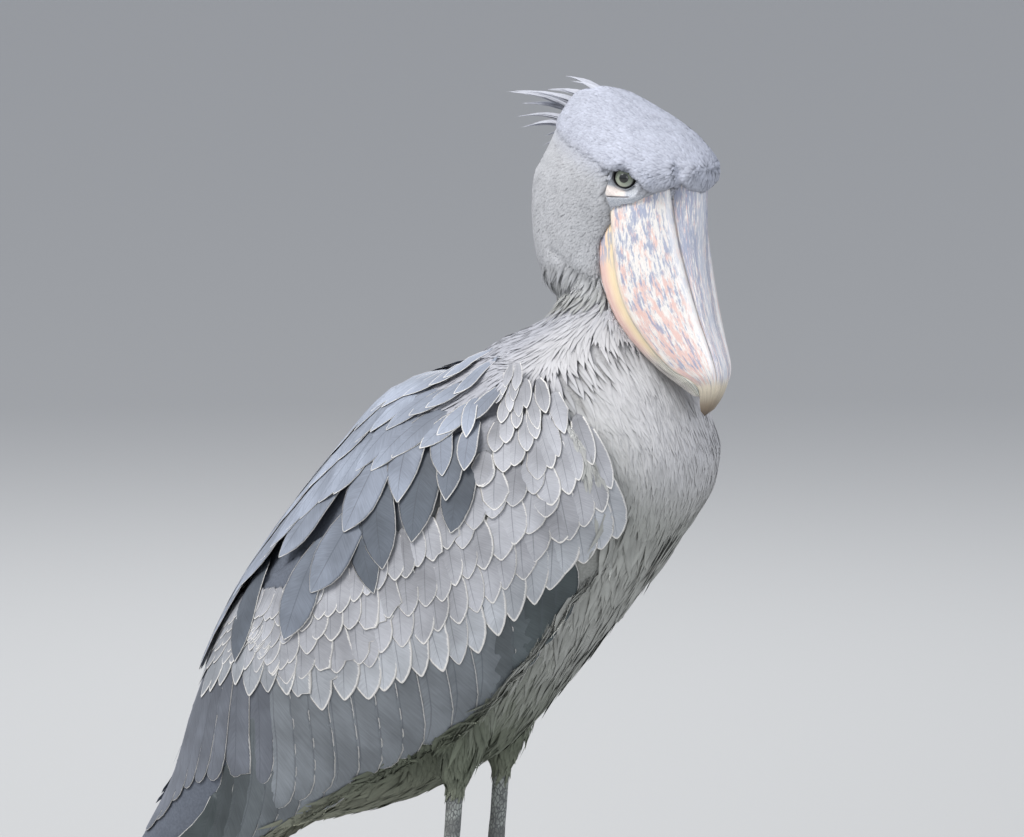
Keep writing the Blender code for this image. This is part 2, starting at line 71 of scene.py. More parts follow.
# Stations of the bill along the line from brow to nail:
# along, ridge height, ridge half width, groove depth, half width, height of the mouth
BILL_UPPER = [
    (-0.012, 0.001, 0.0195, -0.0195, 0.0490, -0.069),
    (-0.002, 0.000, 0.0200, -0.0205, 0.0520, -0.071),
    (0.012, -0.003, 0.0195, -0.022, 0.0535, -0.072),
    (0.030, -0.0068, 0.0185, -0.0225, 0.0540, -0.0738),
    (0.050, -0.0112, 0.0170, -0.0222, 0.0540, -0.0750),
    (0.075, -0.0132, 0.0148, -0.0208, 0.0530, -0.0750),
    (0.098, -0.0128, 0.0128, -0.0185, 0.0505, -0.0712),
    (0.120, -0.0120, 0.0112, -0.0155, 0.0460, -0.0635),
    (0.137, -0.0092, 0.0102, -0.0122, 0.0408, -0.0552),
    (0.151, -0.0062, 0.0100, -0.0092, 0.0355, -0.0475),
    (0.162, -0.0042, 0.0100, -0.0075, 0.0300, -0.0400),
    (0.171, -0.0042, 0.0092, -0.0080, 0.0235, -0.0300),
    (0.179, -0.0066, 0.0080, -0.0110, 0.0170, -0.0268),
    (0.187, -0.0112, 0.0066, -0.0155, 0.0128, -0.0290),
    (0.195, -0.0178, 0.0050, -0.0215, 0.0092, -0.0335),
    (0.202, -0.0258, 0.0032, -0.0285, 0.0055, -0.0370),
]
BILL_TIP = (0.2075, -0.0385)
# along, height of the chin line, half width
BILL_LOWER = [
    (0.004, -0.0900, 0.0455),
    (0.024, -0.1010, 0.0490),
    (0.046, -0.1050, 0.0500),
    (0.068, -0.1055, 0.0495),
    (0.088, -0.1025, 0.0480),
    (0.106, -0.0970, 0.0455),
    (0.125, -0.0870, 0.0415),
    (0.142, -0.0755, 0.0370),
    (0.158, -0.0640, 0.0310),
    (0.173, -0.0505, 0.0240),
    (0.187, -0.0395, 0.0130),
]
BILL_LOWER_TIP = (0.1905, -0.0348)

FLESH = ["trunk", "neck", "head", "wing_left", "wing_right", "tail"]
for _side in ("left", "right"):
    FLESH += [f"thigh_{_side}", f"tibia_{_side}", f"tarsus_{_side}", f"foot_{_side}"]


# Curves and places


def curve_through(rows, steps):
    """Smooth rows passing through every given row, with `steps` spans between neighbours."""
    rows = np.array(rows, dtype=float)
    ends = np.vstack([2 * rows[0] - rows[1], rows, 2 * rows[-1] - rows[-2]])
    out = []
    for k in range(1, len(ends) - 2):
        before, here, there, after = ends[k - 1], ends[k], ends[k + 1], ends[k + 2]
        for step in range(steps):
            u = step / steps
            slope_here = (there - before) / 2
            slope_there = (after - here) / 2
            out.append(
                (2 * u**3 - 3 * u**2 + 1) * here
                + (u**3 - 2 * u**2 + u) * slope_here
                + (3 * u**2 - 2 * u**3) * there
                + (u**3 - u**2) * slope_there
            )
    out.append(rows[-1])
    return np.array(out)


def smooth(low, high, value):
    """0 below low, 1 above high, an even ease between."""
    u = np.clip((np.asarray(value, float) - low) / (high - low), 0.0, 1.0)
    return u * u * (3 - 2 * u)


def unit(vectors):
    size = np.linalg.norm(vectors, axis=-1, keepdims=True)
    return vectors / np.maximum(size, 1e-9)


def head_to_world(points):
    """From the head's level frame at the brow point to the body's frame."""
    points = np.asarray(points, float)
    c, s = math.cos(HEAD_TURN), math.sin(HEAD_TURN)
    fore, side, rise = points[..., 0], points[..., 1], points[..., 2]
    return np.stack([
        BROW[0] + FORE + fore * c - side * s,
        BROW[1] + fore * s + side * c,
        BROW[2] + rise,
    ], axis=-1)


def world_to_head(points):
    points = np.asarray(points, float)
    c, s = math.cos(HEAD_TURN), math.sin(HEAD_TURN)
    x = points[..., 0] - BROW[0] - FORE
    y = points[..., 1] - BROW[1]
    return np.stack([x * c + y * s, -x * s + y * c, points[..., 2] - BROW[2]], axis=-1)


def head_way(ways):
    """A direction given in the head's frame, in the body's frame."""
    return head_to_world(ways) - head_to_world(np.zeros(3))


def bill_to_head(points):
    points = np.asarray(points, float)
    along, side, height = points[..., 0], points[..., 1], points[..., 2]
    c, s = math.cos(BILL_DROP), math.sin(BILL_DROP)
    return np.stack([along * c + height * s, side, -along * s + height * c], axis=-1)


# Meshes from arrays


def shown(name, data):
    """A new object in the scene."""
    made = bpy.data.objects.new(name, data)
    bpy.context.scene.collection.objects.link(made)
    return made


def write_values(mesh, attributes):
    """Numbers and colours for each point, which the materials read."""
    for title, values in attributes.items():
        values = np.asarray(values, np.float32)
        if values.ndim == 1:
            mesh.attributes.new(title, "FLOAT", "POINT").data.foreach_set("value", values)
        else:
            full = np.ones((len(values), 4), np.float32)
            full[:, :3] = values
            mesh.attributes.new(title, "FLOAT_COLOR", "POINT").data.foreach_set("color", full.ravel())


def mesh_object(name, points, faces, attributes=None, uvs=None):
    """A shown object from arrays: faces holds arrays of triangles or quads."""
    mesh = bpy.data.meshes.new(name)
    faces = [np.asarray(block, np.int64) for block in faces if len(block)]
    sizes = np.concatenate([np.full(len(block), block.shape[1]) for block in faces])
    corners = np.concatenate([block.ravel() for block in faces])
    mesh.vertices.add(len(points))
    mesh.vertices.foreach_set("co", np.asarray(points, np.float32).ravel())
    mesh.loops.add(len(corners))
    mesh.loops.foreach_set("vertex_index", corners.astype(np.int32))
    mesh.polygons.add(len(sizes))
    starts = np.concatenate([[0], np.cumsum(sizes)[:-1]])
    mesh.polygons.foreach_set("loop_start", starts.astype(np.int32))
    mesh.polygons.foreach_set("loop_total", sizes.astype(np.int32))
    mesh.polygons.foreach_set("use_smooth", np.ones(len(sizes), bool))
    mesh.update(calc_edges=True)
    mesh.validate()
    write_values(mesh, attributes or {})
    for title, values in (uvs or {}).items():
        layer = mesh.uv_layers.new(name=title)
        layer.data.foreach_set("uv", np.asarray(values, np.float32)[corners].ravel())
    return shown(name, mesh)


def finish_piece(piece, look, nodes=()):
    piece.data.materials.clear()
    piece.data.materials.append(look)
    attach(piece, "root")
    if nodes:
        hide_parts(*nodes)
    return piece


def ring_faces(rings, count):
    """Faces of a closed loft whose points are a first pole, rings of `count` points and a last pole."""
    k = np.arange(count)
    following = (k + 1) % count
    start = np.stack([np.zeros(count, int), 1 + following, 1 + k], axis=1)
    walls = []
    for r in range(rings - 1):
        a = 1 + r * count + k
        b = 1 + r * count + following
        walls.append(np.stack([a, b, b + count, a + count], axis=1))
    last = 1 + (rings - 1) * count
    pole = 1 + rings * count
    end = np.stack([last + k, last + following, np.full(count, pole)], axis=1)
    return np.concatenate([start, end]), np.concatenate(walls) if walls else np.zeros((0, 4), int)


# Hull and skin


def at_points(mesh, title):
    """The place, "co", or the normal, "normal", of each point."""
    values = np.zeros(len(mesh.vertices) * 3, np.float32)
    mesh.vertices.foreach_get(title, values)
    return values.reshape(-1, 3).astype(float)


def mesh_triangles(mesh):
    mesh.calc_loop_triangles()
    corners = np.zeros(len(mesh.loop_triangles) * 3, np.int32)
    mesh.loop_triangles.foreach_get("vertices", corners)
    return corners.reshape(-1, 3)


def joined_nodes(names):
    """One scratch object holding copies of the named nodes' meshes."""
    points = []
    faces = []
    for name in names:
        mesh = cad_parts[name].data
        shift = sum(len(block) for block in points)
        points.append(at_points(mesh, "co"))
        faces.append(mesh_triangles(mesh) + shift)
    made = mesh_object("scratch_flesh", np.concatenate(points), [np.concatenate(faces)])
    work = bmesh.new()
    work.from_mesh(made.data)
    bmesh.ops.remove_doubles(work, verts=work.verts, dist=0.00002)
    work.to_mesh(made.data)
    work.free()
    return made


def with_modifiers(scratch):
    """The mesh of a scratch object after its modifiers; the object is removed."""
    graph = bpy.context.evaluated_depsgraph_get()
    mesh = bpy.data.meshes.new_from_object(scratch.evaluated_get(graph), depsgraph=graph)
    bpy.data.objects.remove(scratch, do_unlink=True)
    return mesh


def flesh_mesh(voxel, rounds):
    scratch = joined_nodes(FLESH)
    step = scratch.modifiers.new("whole", "REMESH")
    step.mode = "VOXEL"
    step.voxel_size = voxel
    step = scratch.modifiers.new("even", "SMOOTH")
    step.factor = 0.5
    step.iterations = rounds
    return with_modifiers(scratch)


class Surface:
    """Nearest points and smooth normals on a closed mesh."""

    def __init__(self, mesh):
        self.points = at_points(mesh, "co")
        self.normals = at_points(mesh, "normal")
        self.faces = mesh_triangles(mesh)
        self.face_normals = unit(self.normals[self.faces].mean(axis=1))
        self.tree = BVHTree.FromPolygons(self.points.tolist(), self.faces.tolist(), epsilon=0.0)

    def nearest(self, places):
        """Nearest surface points and their normals for an array of places."""
        near = np.empty_like(places)
        index = np.empty(len(places), int)
        find = self.tree.find_nearest
        for n, place in enumerate(places.tolist()):
            spot, _, face, _ = find(place)
            near[n] = spot
            index[n] = face
        return near, self.face_normals[index]

    def scatter(self, count, rng, weight):
        """Random points on the surface, as dense as the weight says."""
        a, b, c = (self.points[self.faces[:, n]] for n in range(3))
        area = np.linalg.norm(np.cross(b - a, c - a), axis=1)
        area = area * weight((a + b + c) / 3)
        pick = rng.choice(len(area), size=count, p=area / area.sum())
        u, v = rng.random(count), rng.random(count)
        over = u + v > 1
        u[over], v[over] = 1 - u[over], 1 - v[over]
        return a[pick] + (b - a)[pick] * u[:, None] + (c - a)[pick] * v[:, None]

    def area(self, weight):
        """The whole area, each face counted by its weight."""
        a, b, c = (self.points[self.faces[:, n]] for n in range(3))
        area = np.linalg.norm(np.cross(b - a, c - a), axis=1) / 2
        return float((area * weight((a + b + c) / 3)).sum())


def thinned(spots, gap, rng):
    """Spots left when each cell of two shifted grids keeps one of them."""
    spots = rng.permutation(spots)
    for shift in (0.0, 0.5):
        cells = np.floor(spots / gap + shift).astype(np.int64)
        _, first = np.unique(cells, axis=0, return_index=True)
        spots = spots[np.sort(first)]
    return spots


# Regions of the body


HEAD_ROWS = np.array([
    (-0.118, -0.086, -0.140, 0.031),
    (-0.107, -0.076, -0.162, 0.0445),
    (-0.092, -0.066, -0.181, 0.0535),
    (-0.072, -0.059, -0.193, 0.0590),
    (-0.048, -0.052, -0.198, 0.0615),
    (-0.024, -0.036, -0.200, 0.0640),
    (-0.004, -0.010, -0.200, 0.0660),
    (0.011, 0.0055, -0.198, 0.0670),
    (0.025, 0.0085, -0.188, 0.0660),
    (0.039, -0.0025, -0.179, 0.0620),
    (0.053, -0.0205, -0.172, 0.0560),
    (0.066, -0.0450, -0.166, 0.0485),
    (0.079, -0.0740, -0.161, 0.0370),
    (0.0895, -0.098, -0.152, 0.0240),
])


def head_share(points):
    """1 on the head, fading to 0 over the root of the neck."""
    local = world_to_head(points)
    rise = np.clip(local[:, 2], HEAD_ROWS[0, 0], HEAD_ROWS[-1, 0])
    front, back, wide = (np.interp(rise, HEAD_ROWS[:, 0], HEAD_ROWS[:, n]) for n in (1, 2, 3))
    middle = (front + back) / 2
    reach = (front - back) / 2
    off = np.sqrt(((local[:, 0] - middle) / reach) ** 2 + (local[:, 1] / wide) ** 2)
    inside = 1 - smooth(1.06, 1.16, off)
    return inside * smooth(-0.122, -0.108, local[:, 2])


def leg_share(points):
    """1 on the bare legs and feet, fading to 0 under the thigh feathers."""
    x, y, z = points[:, 0] - FORE, np.abs(points[:, 1]) - LEG_HALF_GAP, points[:, 2]
    near = (1 - smooth(0.022, 0.028, np.abs(y))) * smooth(-0.032, -0.026, x)
    upper = near * (1 - smooth(0.362, 0.380, z))
    return np.maximum(upper, 1 - smooth(0.10, 0.14, z))


def thigh_share(points):
    x, y, z = points[:, 0] - FORE, np.abs(points[:, 1]) - LEG_HALF_GAP, points[:, 2]
    near = (1 - smooth(0.030, 0.040, np.abs(y))) * (1 - smooth(0.045, 0.06, np.abs(x)))
    return near * (1 - smooth(0.43, 0.46, z)) * smooth(0.355, 0.37, z)


def eye_place(side):
    """Centre of one eye and the way it looks."""
    centre = head_to_world((EYE_FORE, side * EYE_SIDE, EYE_RISE))
    return centre, head_way((math.cos(EYE_TURN), side * math.sin(EYE_TURN), 0.0))


def eye_local(points, side):
    """Forward, up and outward distances from the centre of one eye, along its own axes."""
    centre, out = eye_place(side)
    ahead = np.cross(UPWARD, out) * -side
    offset = points - centre
    return offset @ ahead, offset @ UPWARD, offset @ out


# Outline of the bare skin round the eye, forward and up from the eye's centre
BARE_LINE = [
    (-0.0160, -0.0060), (-0.0125, 0.0035), (-0.0085, 0.0090), (0.0000, 0.0112),
    (0.0080, 0.0085), (0.0135, 0.0015), (0.0200, -0.0080), (0.0270, -0.0140),
    (0.0200, -0.0230), (0.0040, -0.0310), (-0.0120, -0.0380), (-0.0150, -0.0260),
    (-0.0185, -0.0150),
]


def polygon_depth(u, v, line):
    """How far inside (over 0) or outside (under 0) points lie of a closed outline."""
    line = np.array(line)
    best = np.full(u.shape, 1e9)
    inside = np.zeros(u.shape, bool)
    for n in range(len(line)):
        a, b = line[n], line[(n + 1) % len(line)]
        edge = b - a
        along = ((u - a[0]) * edge[0] + (v - a[1]) * edge[1]) / (edge @ edge)
        along = np.clip(along, 0, 1)
        away = np.hypot(u - a[0] - along * edge[0], v - a[1] - along * edge[1])
        best = np.minimum(best, away)
        crosses = (a[1] > v) != (b[1] > v)
        rise = edge[1] if abs(edge[1]) > 1e-9 else 1e-9
        inside ^= crosses & (u < a[0] + (v - a[1]) / rise * edge[0])
    return np.where(inside, best, -best)


def bare_share(points):
    """1 on the bare skin between eye and bill."""
    share = np.zeros(len(points))
    for side in (1.0, -1.0):
        ahead, up, out = eye_local(points, side)
        depth = polygon_depth(ahead, up, BARE_LINE)
        share = np.maximum(share, smooth(-0.0012, 0.0006, depth) * (out > -0.004) * (out < 0.04))
    return share


def mix_number(first, second, share):
    return first + (second - first) * share


def coat_depth(points):
    """How deep the skin lies under the feather tips."""
    run, turn = body_local(points)
    neck = smooth(0.66, 0.74, run)
    body = 0.0060 + 0.0020 * smooth(20, 60, turn) * (1 - smooth(0.56, 0.62, run))
    depth = mix_number(mix_number(body, 0.0042, neck), 0.0014, head_share(points))
    return depth * (1 - 0.95 * leg_share(points)) * (1 - 0.9 * bare_share(points))


# Lie of the coat


BODY_SLOPE = math.radians(50)
WING_AXIS = np.array([(row[0], row[1]) for row in WING])


def axis_local(x, z):
    """Run along the body's slanting axis and rise over it, from the tip of the wing."""
    c, s = math.cos(BODY_SLOPE), math.sin(BODY_SLOPE)
    x, z = x - WING_AXIS[0, 0], z - WING_AXIS[0, 1]
    return x * c + z * s, -x * s + z * c


WING_RUNS, WING_RISES = axis_local(WING_AXIS[:, 0], WING_AXIS[:, 1])


def body_local(points):
    """Run along the body from wing tip (0) to shoulder (about 0.73) and turn from the back in degrees."""
    run, rise = axis_local(points[:, 0] - FORE, points[:, 2])
    rise = rise - np.interp(run, WING_RUNS, WING_RISES)
    return run, np.degrees(np.arctan2(np.abs(points[:, 1]), rise))


def mix(first, second, share):
    return first + (second - first) * np.asarray(share)[..., None]


def coat_flow(points):
    """The way the feathers point at each place."""
    run, turn = body_local(points)
    side = np.sign(points[:, 1]) + (points[:, 1] == 0)
    ones = np.ones(len(points))

    def way(x, y, z):
        return unit(np.stack([ones * x, side * y, ones * z], axis=1))

    tailward = way(-0.64, 0.0, -0.77)
    drooping = way(-0.30, 0.02, -0.95)
    breast = way(-0.16, -0.12, -0.98)
    hind_neck = way(-0.80, 0.18, -0.55)
    neck_side = way(0.62, 0.25, -0.74)
    flow = mix(tailward, drooping, smooth(95, 125, turn))
    flow = mix(flow, breast, smooth(0.46, 0.60, run) * smooth(70, 100, turn))
    high = smooth(0.62, 0.72, run)
    flow = mix(flow, hind_neck, high * (1 - smooth(35, 60, turn)))
    flow = mix(flow, neck_side, smooth(0.66, 0.74, run) * smooth(45, 70, turn) * (1 - smooth(115, 150, turn)))
    x, z = points[:, 0] - FORE, points[:, 2]
    under = smooth(0.0, 0.10, 0.46 - z) * (x < 0.05) * smooth(120, 150, turn)
    flow = mix(flow, way(-0.80, 0.0, -0.58), under)
    flow = mix(flow, way(-0.05, 0.0, -1.0), thigh_share(points))

    local = world_to_head(points)
    rise = local[:, 2]
    cap = head_way(np.stack([-ones, 0 * ones, 0.15 * ones], axis=1))
    cheek = head_way(np.stack([-0.72 * ones, 0 * ones, -0.55 * ones], axis=1))
    chin = head_way(np.stack([-0.35 * ones, 0 * ones, -0.90 * ones], axis=1))
    on_head = mix(cheek, cap, smooth(0.010, 0.045, rise))
    on_head = mix(chin, on_head, smooth(-0.10, -0.03, rise))
    return unit(mix(flow, on_head, head_share(points)))


def in_plane(ways, normals):
    return unit(ways - normals * np.sum(ways * normals, axis=1, keepdims=True))


def lay_out(surface, roots, ways, lengths, nodes, follow):
    """Paths over the surface from the roots, turning toward the lie of the coat as they go."""
    spots, normals = surface.nearest(roots)
    ways = in_plane(ways, normals)
    path, ups = [spots], [normals]
    for k in range(1, nodes):
        spots, normals = surface.nearest(spots + ways * (lengths / (nodes - 1))[:, None])
        ways = in_plane(mix(ways, coat_flow(spots), np.full(len(spots), follow)), normals)
        path.append(spots)
        ups.append(normals)
    return np.stack(path, axis=1), np.stack(ups, axis=1)


# Colours, given as screen values and held as light


def ink(red, green, blue):
    shade = np.array((red, green, blue), float) / 255
    return np.where(shade <= 0.04045, shade / 12.92, ((shade + 0.055) / 1.055) ** 2.4)


CAP = ink(162, 165, 176)
CHEEK = ink(168, 169, 172)
CREST_GREY = ink(172, 174, 182)
CHIN = ink(146, 147, 143)
MANTLE = ink(158, 159, 165)
NECK = ink(182, 181, 182)
BREAST = ink(152, 153, 149)
BELLY = ink(98, 103, 90)
SLATE = ink(104, 110, 121)
VENT = ink(130, 132, 118)


def coat_tint(points):
    """The coat's colour over the body, the same on skin and feathers."""
    run, turn = body_local(points)
    tint = mix(SLATE, BELLY, smooth(95, 125, turn))
    tint = mix(tint, BREAST, smooth(0.42, 0.58, run) * smooth(60, 95, turn))
    tint = mix(tint, MANTLE, smooth(0.56, 0.66, run) * (1 - smooth(60, 90, turn)))
    tint = mix(tint, NECK, smooth(0.68, 0.76, run) * smooth(30, 60, turn))
    tint = mix(tint, VENT, smooth(0.0, 0.08, 0.40 - points[:, 2]) * smooth(100, 130, turn))
    local = world_to_head(points)
    rise = local[:, 2]
    head = mix(CHEEK, CAP, smooth(0.010, 0.040, rise + 0.35 * local[:, 0] + 0.025))
    head = mix(head, CHIN, 1 - smooth(-0.11, -0.06, rise))
    return mix(tint, head, head_share(points))


# Feathers


# Share of the length and of the half width at each node of a narrow tuft, for each form
TUFT_FORMS = {
    "short": ([0.0, 0.30, 0.72, 1.0], [0.0, 1.0, 0.80, 0.0]),
    "plume": ([0.0, 0.15, 0.40, 0.65, 0.86, 1.0], [0.0, 0.80, 1.0, 0.85, 0.45, 0.0]),
    "crest": ([0.0, 0.12, 0.30, 0.50, 0.68, 0.84, 1.0], [0.0, 0.8, 1.0, 0.95, 0.75, 0.42, 0.0]),
}


class Coat:
    """Gathers the feathers of one piece as arrays of points, faces and values."""

    def __init__(self):
        self.points, self.triangles, self.quads = [], [], []
        self.values = {"along": [], "across": [], "tone": [], "rim": [], "edge": []}
        self.tints = []
        self.patches = []
        self.facings = []
        self.count = 0

    def add(self, points, template, values, tints, patches, facings=None):
        """points is (feathers, nodes of the template, 3); facings are soft normals of the same shape."""
        feathers, nodes = points.shape[:2]
        if facings is not None:
            self.facings.append(facings.reshape(-1, 3))
        shifts = self.count + np.arange(feathers)[:, None, None] * nodes
        triangles, quads = template
        self.triangles.append((triangles[None] + shifts).reshape(-1, 3))
        if len(quads):
            self.quads.append((quads[None] + shifts).reshape(-1, 4))
        self.points.append(points.reshape(-1, 3))
        for title, store in self.values.items():
            value = np.broadcast_to(values.get(title, 0.0), (feathers, nodes))
            store.append(value.reshape(-1))
        self.tints.append(np.broadcast_to(tints, (feathers, nodes, 3)).reshape(-1, 3))
        self.patches.append(patches.reshape(-1, 2))
        self.count += feathers * nodes

    def make(self, name):
        values = {title: np.concatenate(store) for title, store in self.values.items()}
        values["tint"] = np.concatenate(self.tints)
        faces = [np.concatenate(self.triangles)]
        if self.quads:
            faces.append(np.concatenate(self.quads))
        made = mesh_object(
            name, np.concatenate(self.points), faces, values, {"OFBake": np.concatenate(self.patches)}
        )
        if self.facings:
            made.data.normals_split_custom_set_from_vertices(unit(np.concatenate(self.facings)).tolist())
        return made


def unwrap(points):
    """Place on an unwrap of the skin round the body's or the head's own axis, 0 to 1 each way."""
    run, turn = body_local(points)
    side = np.sign(points[:, 1])
    body = np.stack([0.5 + side * turn / 380.0, 0.05 + run * 0.9], axis=1)
    local = world_to_head(points)
    around = np.arctan2(local[:, 1], local[:, 0] + 0.10)
    head = np.stack([0.5 + around / 6.6, 0.5 + local[:, 2] * 4.0], axis=1)
    return np.clip(np.where(head_share(points)[:, None] > 0.5, head, body), 0.004, 0.994)


TUFT_PATCH = 0.003
PATH_NODES = 4


def blade_points(middle, left, top, right):
    """Rows of a closed three-sided blade: its root, rings of three and its tip."""
    rings = np.stack([left, top, right], axis=2)[:, 1:-1].reshape(len(middle), -1, 3)
    return np.concatenate([middle[:, :1], rings, middle[:, -1:]], axis=1)


def add_blades(coat, shares, centre, across, up, half, ridge, twist, round_off, tone, contrast, tints, spots):
    """Closed three-sided blades round given middle lines, with normals that make them look downy."""
    lean = (across + up * twist) * half[:, :, None]
    points = blade_points(centre, centre - lean, centre + up * (half * ridge)[:, :, None], centre + lean)
    aside = across * round_off
    facings = blade_points(up, up - aside, up, up + aside)
    inner = len(shares) - 2
    along = np.concatenate([[0.0], np.repeat(shares[1:-1], 3), [1.0]])
    side = np.concatenate([[0.0], np.tile([-1.0, 0.0, 1.0], inner), [0.0]])
    values = {"along": along, "across": side, "tone": tone[:, None], "edge": contrast}
    patch = spots[:, None, :] + TUFT_PATCH * np.stack([side / 2, along], axis=1)[None]
    coat.add(points, ring_faces(inner, 3), values, tints, patch, facings)


def add_tufts(coat, surface, roots, rng, form, length, width, lift, follow, stray, contrast, ridge):
    """Blades that rise from the skin and lie along the coat."""
    shares, profile = (np.array(values) for values in TUFT_FORMS[form])
    count = len(roots)
    ways = unit(coat_flow(roots) + rng.normal(0.0, stray, (count, 3)))
    path, ups = lay_out(surface, roots, ways, length, PATH_NODES, follow)
    steps = np.linspace(0, 1, PATH_NODES)
    where = np.clip(np.searchsorted(steps, shares, side="right") - 1, 0, PATH_NODES - 2)
    blend = (shares - steps[where]) * (PATH_NODES - 1)
    centre = path[:, where] * (1 - blend)[None, :, None] + path[:, where + 1] * blend[None, :, None]
    up = unit(ups[:, where] * (1 - blend)[None, :, None] + ups[:, where + 1] * blend[None, :, None])
    run = np.gradient(centre, axis=1)
    across = unit(np.cross(run, up))
    deep = coat_depth(roots) * 0.9
    rise = -deep[:, None] * (1 - smooth(0.0, 0.50, shares))[None, :]
    rise = rise + lift[:, None] * (shares + rng.normal(0, 0.2, count)[:, None])
    bend = rng.normal(0, 0.10, count)[:, None] * shares[None, :] ** 2 * length[:, None]
    centre = centre + up * rise[:, :, None] + across * bend[:, :, None]
    twist = rng.normal(0, 1.4 * stray, count)[:, None, None]
    add_blades(
        coat, shares, centre, across, up, width[:, None] / 2 * profile[None, :], ridge, twist, 3.5 * ridge,
        rng.normal(0, 1, count), contrast, coat_tint(roots)[:, None, :], unwrap(roots),
    )


# Share of the length, and of the half width there, for the outline of each kind of vane
VANE_FORMS = {
    "covert": ([0.0, 0.12, 0.30, 0.48, 0.64, 0.78, 0.88, 0.95, 0.985, 1.0],
               [0.0, 0.62, 0.87, 1.0, 0.97, 0.79, 0.53, 0.27, 0.11, 0.0]),
    "scapular": ([0.0, 0.10, 0.26, 0.42, 0.57, 0.70, 0.81, 0.90, 0.955, 0.985, 1.0],
                 [0.0, 0.55, 0.82, 0.96, 1.0, 0.93, 0.72, 0.44, 0.22, 0.09, 0.0]),
    "remex": ([0.0, 0.05, 0.16, 0.30, 0.45, 0.60, 0.73, 0.84, 0.92, 0.965, 0.99, 1.0],
              [0.0, 0.50, 0.80, 0.94, 1.0, 1.0, 0.97, 0.90, 0.74, 0.52, 0.28, 0.0]),
}
VANE_COLUMNS = np.array([-1.0, -0.82, -0.42, 0.0, 0.42, 0.82, 1.0])
VANE_THICK = 0.0005
FREE_CAMBER = 0.08


def vane_ring():
    """Shares across and over (1 top, -1 underside) of the closed ring round a vane."""
    top = [(s, 1.0) for s in VANE_COLUMNS]
    under = [(s, -1.0) for s in VANE_COLUMNS[-2:0:-1]]
    return np.array(top + under)


def wing_point(place, turn, side):
    """A point of the folded wing's outer face and the outward normal there."""

    def spot(place, turn):
        table = WING_TABLE
        index = np.clip(place * WING_STEPS, 0, len(table) - 1.001)
        low = index.astype(int)
        share = (index - low)[..., None]
        row = table[low] * (1 - share) + table[low + 1] * share
        over = np.minimum(place, 0.0)[..., None] * (table[WING_STEPS] - table[0])
        beyond = np.maximum(place - (len(WING) - 1), 0.0)[..., None] * (table[-1] - table[-1 - WING_STEPS])
        x, z, slope, above, below, wide, square = np.moveaxis(row, -1, 0)
        x = x + (over + beyond)[..., 0]
        z = z + (over + beyond)[..., 1]
        slope = np.radians(slope)
        c, s = np.cos(turn), np.sin(turn)
        power = np.where(c > 0, 2.0, square)
        rise = np.where(c > 0, above, below) * np.sign(c) * np.abs(c) ** (2 / power)
        out = wide * np.sign(s) * np.abs(s) ** (2 / power)
        return np.stack([x - rise * np.sin(slope) + FORE, side * out, z + rise * np.cos(slope)], axis=-1)

    here = spot(place, turn)
    small = 0.01
    ahead = (spot(place + small, turn) - spot(place - small, turn)) / (2 * small)
    around = (spot(place, turn + small) - spot(place, turn - small)) / (2 * small)
    normal = unit(np.cross(ahead, around)) * side
    return here, ahead, around, normal


WING_STEPS = 16
WING_TABLE = curve_through(WING, WING_STEPS)
WING_END = 9.2
WING_RAISE = 0.0018


def wing_lean(place, turn):
    """Angle from the tailward way toward the belly, in radians, at which vanes lie on the wing."""
    degrees = np.degrees(turn)
    lean = 46.0 * smooth(8.0, 82.0, degrees) * smooth(-0.5, 4.2, place)
    lean = lean - 26.0 * smooth(116.0, 146.0, degrees) * (1 - smooth(6.0, 8.2, place))
    return np.radians(lean)


def wing_path(place, turn, length, shares, side, lean_shift, own_lean=None):
    """Centre lines that end at (place, turn) and are followed back to their roots."""
    count = len(place)
    places = np.zeros((count, len(shares)))
    turns = np.zeros((count, len(shares)))
    places[:, -1], turns[:, -1] = place, turn
    at_place, at_turn = place.copy(), turn.copy()
    for k in range(len(shares) - 2, -1, -1):
        step = (shares[k + 1] - shares[k]) * length
        parts = 3
        for _ in range(parts):
            _, ahead, around, _ = wing_point(at_place, at_turn, side)
            lean = wing_lean(at_place, at_turn) + lean_shift if own_lean is None else own_lean
            at_place = at_place + np.cos(lean) * step / parts / np.linalg.norm(ahead, axis=-1)
            at_place = np.minimum(at_place, WING_END)
            at_turn = at_turn - np.sin(lean) * step / parts / np.linalg.norm(around, axis=-1)
            at_turn = np.maximum(at_turn, 0.02)
        places[:, k], turns[:, k] = at_place, at_turn
    return places, turns


def for_each(count, *parts):
    """Each part as one value for each of `count` vanes."""
    return [np.broadcast_to(part, count) for part in parts]


